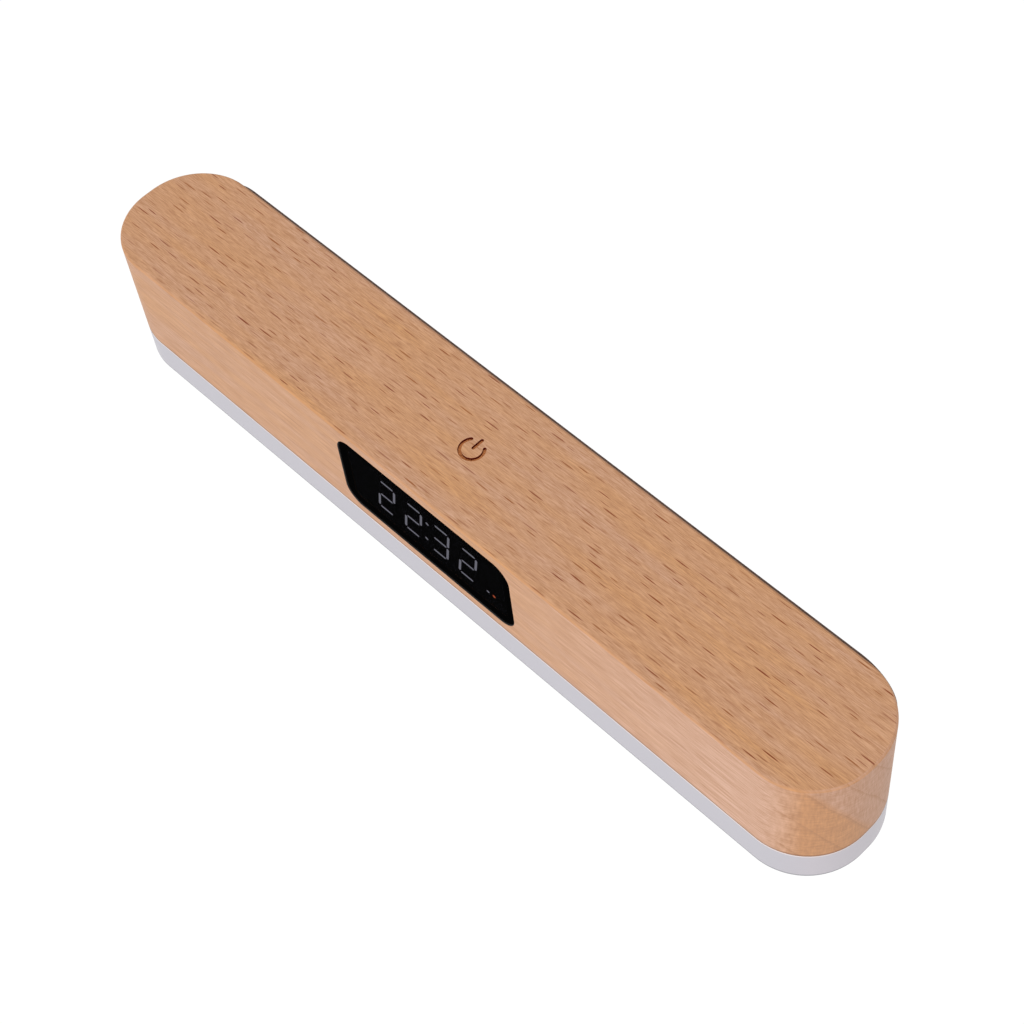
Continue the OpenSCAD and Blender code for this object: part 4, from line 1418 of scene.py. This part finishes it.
@dataclass(frozen=True)
class SoftBox:
    """Square soft box, aimed at the lamp.

    Args:
        name: Name of the light.
        position: Its place in metres.
        size: Side of its square in metres.
        watts: Its power.
    """

    name: str
    position: Point
    size: float
    watts: float

    def hang(self) -> None:
        """Puts the light in its place."""
        light = bpy.data.lights.new(self.name, "AREA")
        light.size = self.size
        light.energy = self.watts
        box = linked(self.name, light)
        box.location = self.position
        box.rotation_euler = Vector(self.position).to_track_quat("Z", "Y").to_euler()


@dataclass
class Studio:
    """Pale floor, even white surroundings, two soft boxes and the camera. Places are in metres."""

    floor_level: float = -0.3
    floor_size: float = 8.0
    floor_plain: str = "#EDEDED"
    floor_shaded: str = "#6F6F6F"
    floor_glow: float = 0.88
    surroundings: float = 0.75
    boxes: tuple[SoftBox, ...] = (
        SoftBox("front_box", (0.2, -0.95, 0.5), 0.9, 4.5),
        SoftBox("top_box", (-0.2, 0.1, 1.2), 0.9, 1.2),
    )
    lens: float = 76.49
    sensor: float = 36.0
    position: Point = (0.1978, -0.164, 0.3515)
    azimuth: float = 52.04
    elevation: float = 55.75
    roll: float = -8.07

    def build(self) -> None:
        """Sets up floor, light and camera."""
        bpy.context.scene.view_settings.view_transform = "Standard"
        self.light_world()
        self.lay_floor()
        for box in self.boxes:
            box.hang()
        self.aim_camera()

    def seen(self, add: Add) -> Socket:
        """Finds what the camera sees, also in gloss and through clear things.

        Args:
            add: Function that adds nodes.
        Returns:
            An output that is 1 there and 0 elsewhere.
        """
        path = add("LightPath")
        share = path["Is Camera Ray"]
        for ray in ("Is Glossy Ray", "Is Transmission Ray"):
            share = add("Math", share, path[ray], operation="ADD", use_clamp=True)[0]
        return share

    def light_world(self) -> None:
        """Lights the object at a plain level from white surroundings."""
        world = bpy.data.worlds.new("studio")
        world.use_nodes = True
        world.node_tree.nodes.clear()
        add = partial(add_node, world.node_tree)
        strength = add("MapRange", self.seen(add), 0.0, 1.0, self.surroundings, 1.0)[0]
        add("OutputWorld", add("Background", linear(WHITE), strength)[0])
        bpy.context.scene.world = world

    def lay_floor(self) -> None:
        """Lays a pale floor that looks white where no shadow falls."""
        material, add = bare_material("floor_paper_white")
        plain, shaded = (add("BsdfDiffuse", linear(c))[0] for c in (self.floor_plain, self.floor_shaded))
        looks = add("AddShader", shaded, add("Emission", linear(WHITE), self.floor_glow)[0])[0]
        add("OutputMaterial", add("MixShader", self.seen(add), plain, looks)[0])
        half = self.floor_size / 2
        corners = [(-half, -half), (half, -half), (half, half), (-half, half)]
        mesh = bpy.data.meshes.new("floor")
        mesh.from_pydata([(x, y, self.floor_level) for x, y in corners], [], [[0, 1, 2, 3]])
        mesh.materials.append(material)
        linked("floor", mesh)

    def aim_camera(self) -> None:
        """Sets the camera at the photograph's viewing angle."""
        turn, rise, tilt = (math.radians(angle) for angle in (self.azimuth, self.elevation, self.roll))
        ahead = Vector((
            -math.sin(turn) * math.cos(rise),
            math.cos(turn) * math.cos(rise),
            -math.sin(rise),
        ))
        level = ahead.cross(Vector((0.0, 0.0, 1.0))).normalized()
        upright = level.cross(ahead)
        right = level * math.cos(tilt) + upright * math.sin(tilt)
        up = upright * math.cos(tilt) - level * math.sin(tilt)
        data = bpy.data.cameras.new("camera")
        data.lens = self.lens
        data.sensor_width = self.sensor
        data.clip_start = 0.01
        camera = linked("camera", data)
        turned = Matrix((right, up, -ahead)).transposed().to_4x4()
        camera.matrix_world = Matrix.Translation(self.position) @ turned
        bpy.context.scene.camera = camera


def main() -> None:
    """Builds the sub-assemblies in order and sets up the studio."""
    logging.basicConfig(level=logging.INFO, format="%(message)s")
    for part in (WoodenBody(), LightBar(), ClockWindow(), Electronics(), ServicePanel(), WallHolder()):
        part.build()
        part.dress()
    Studio().build()


if __name__ == "__main__":
    main()
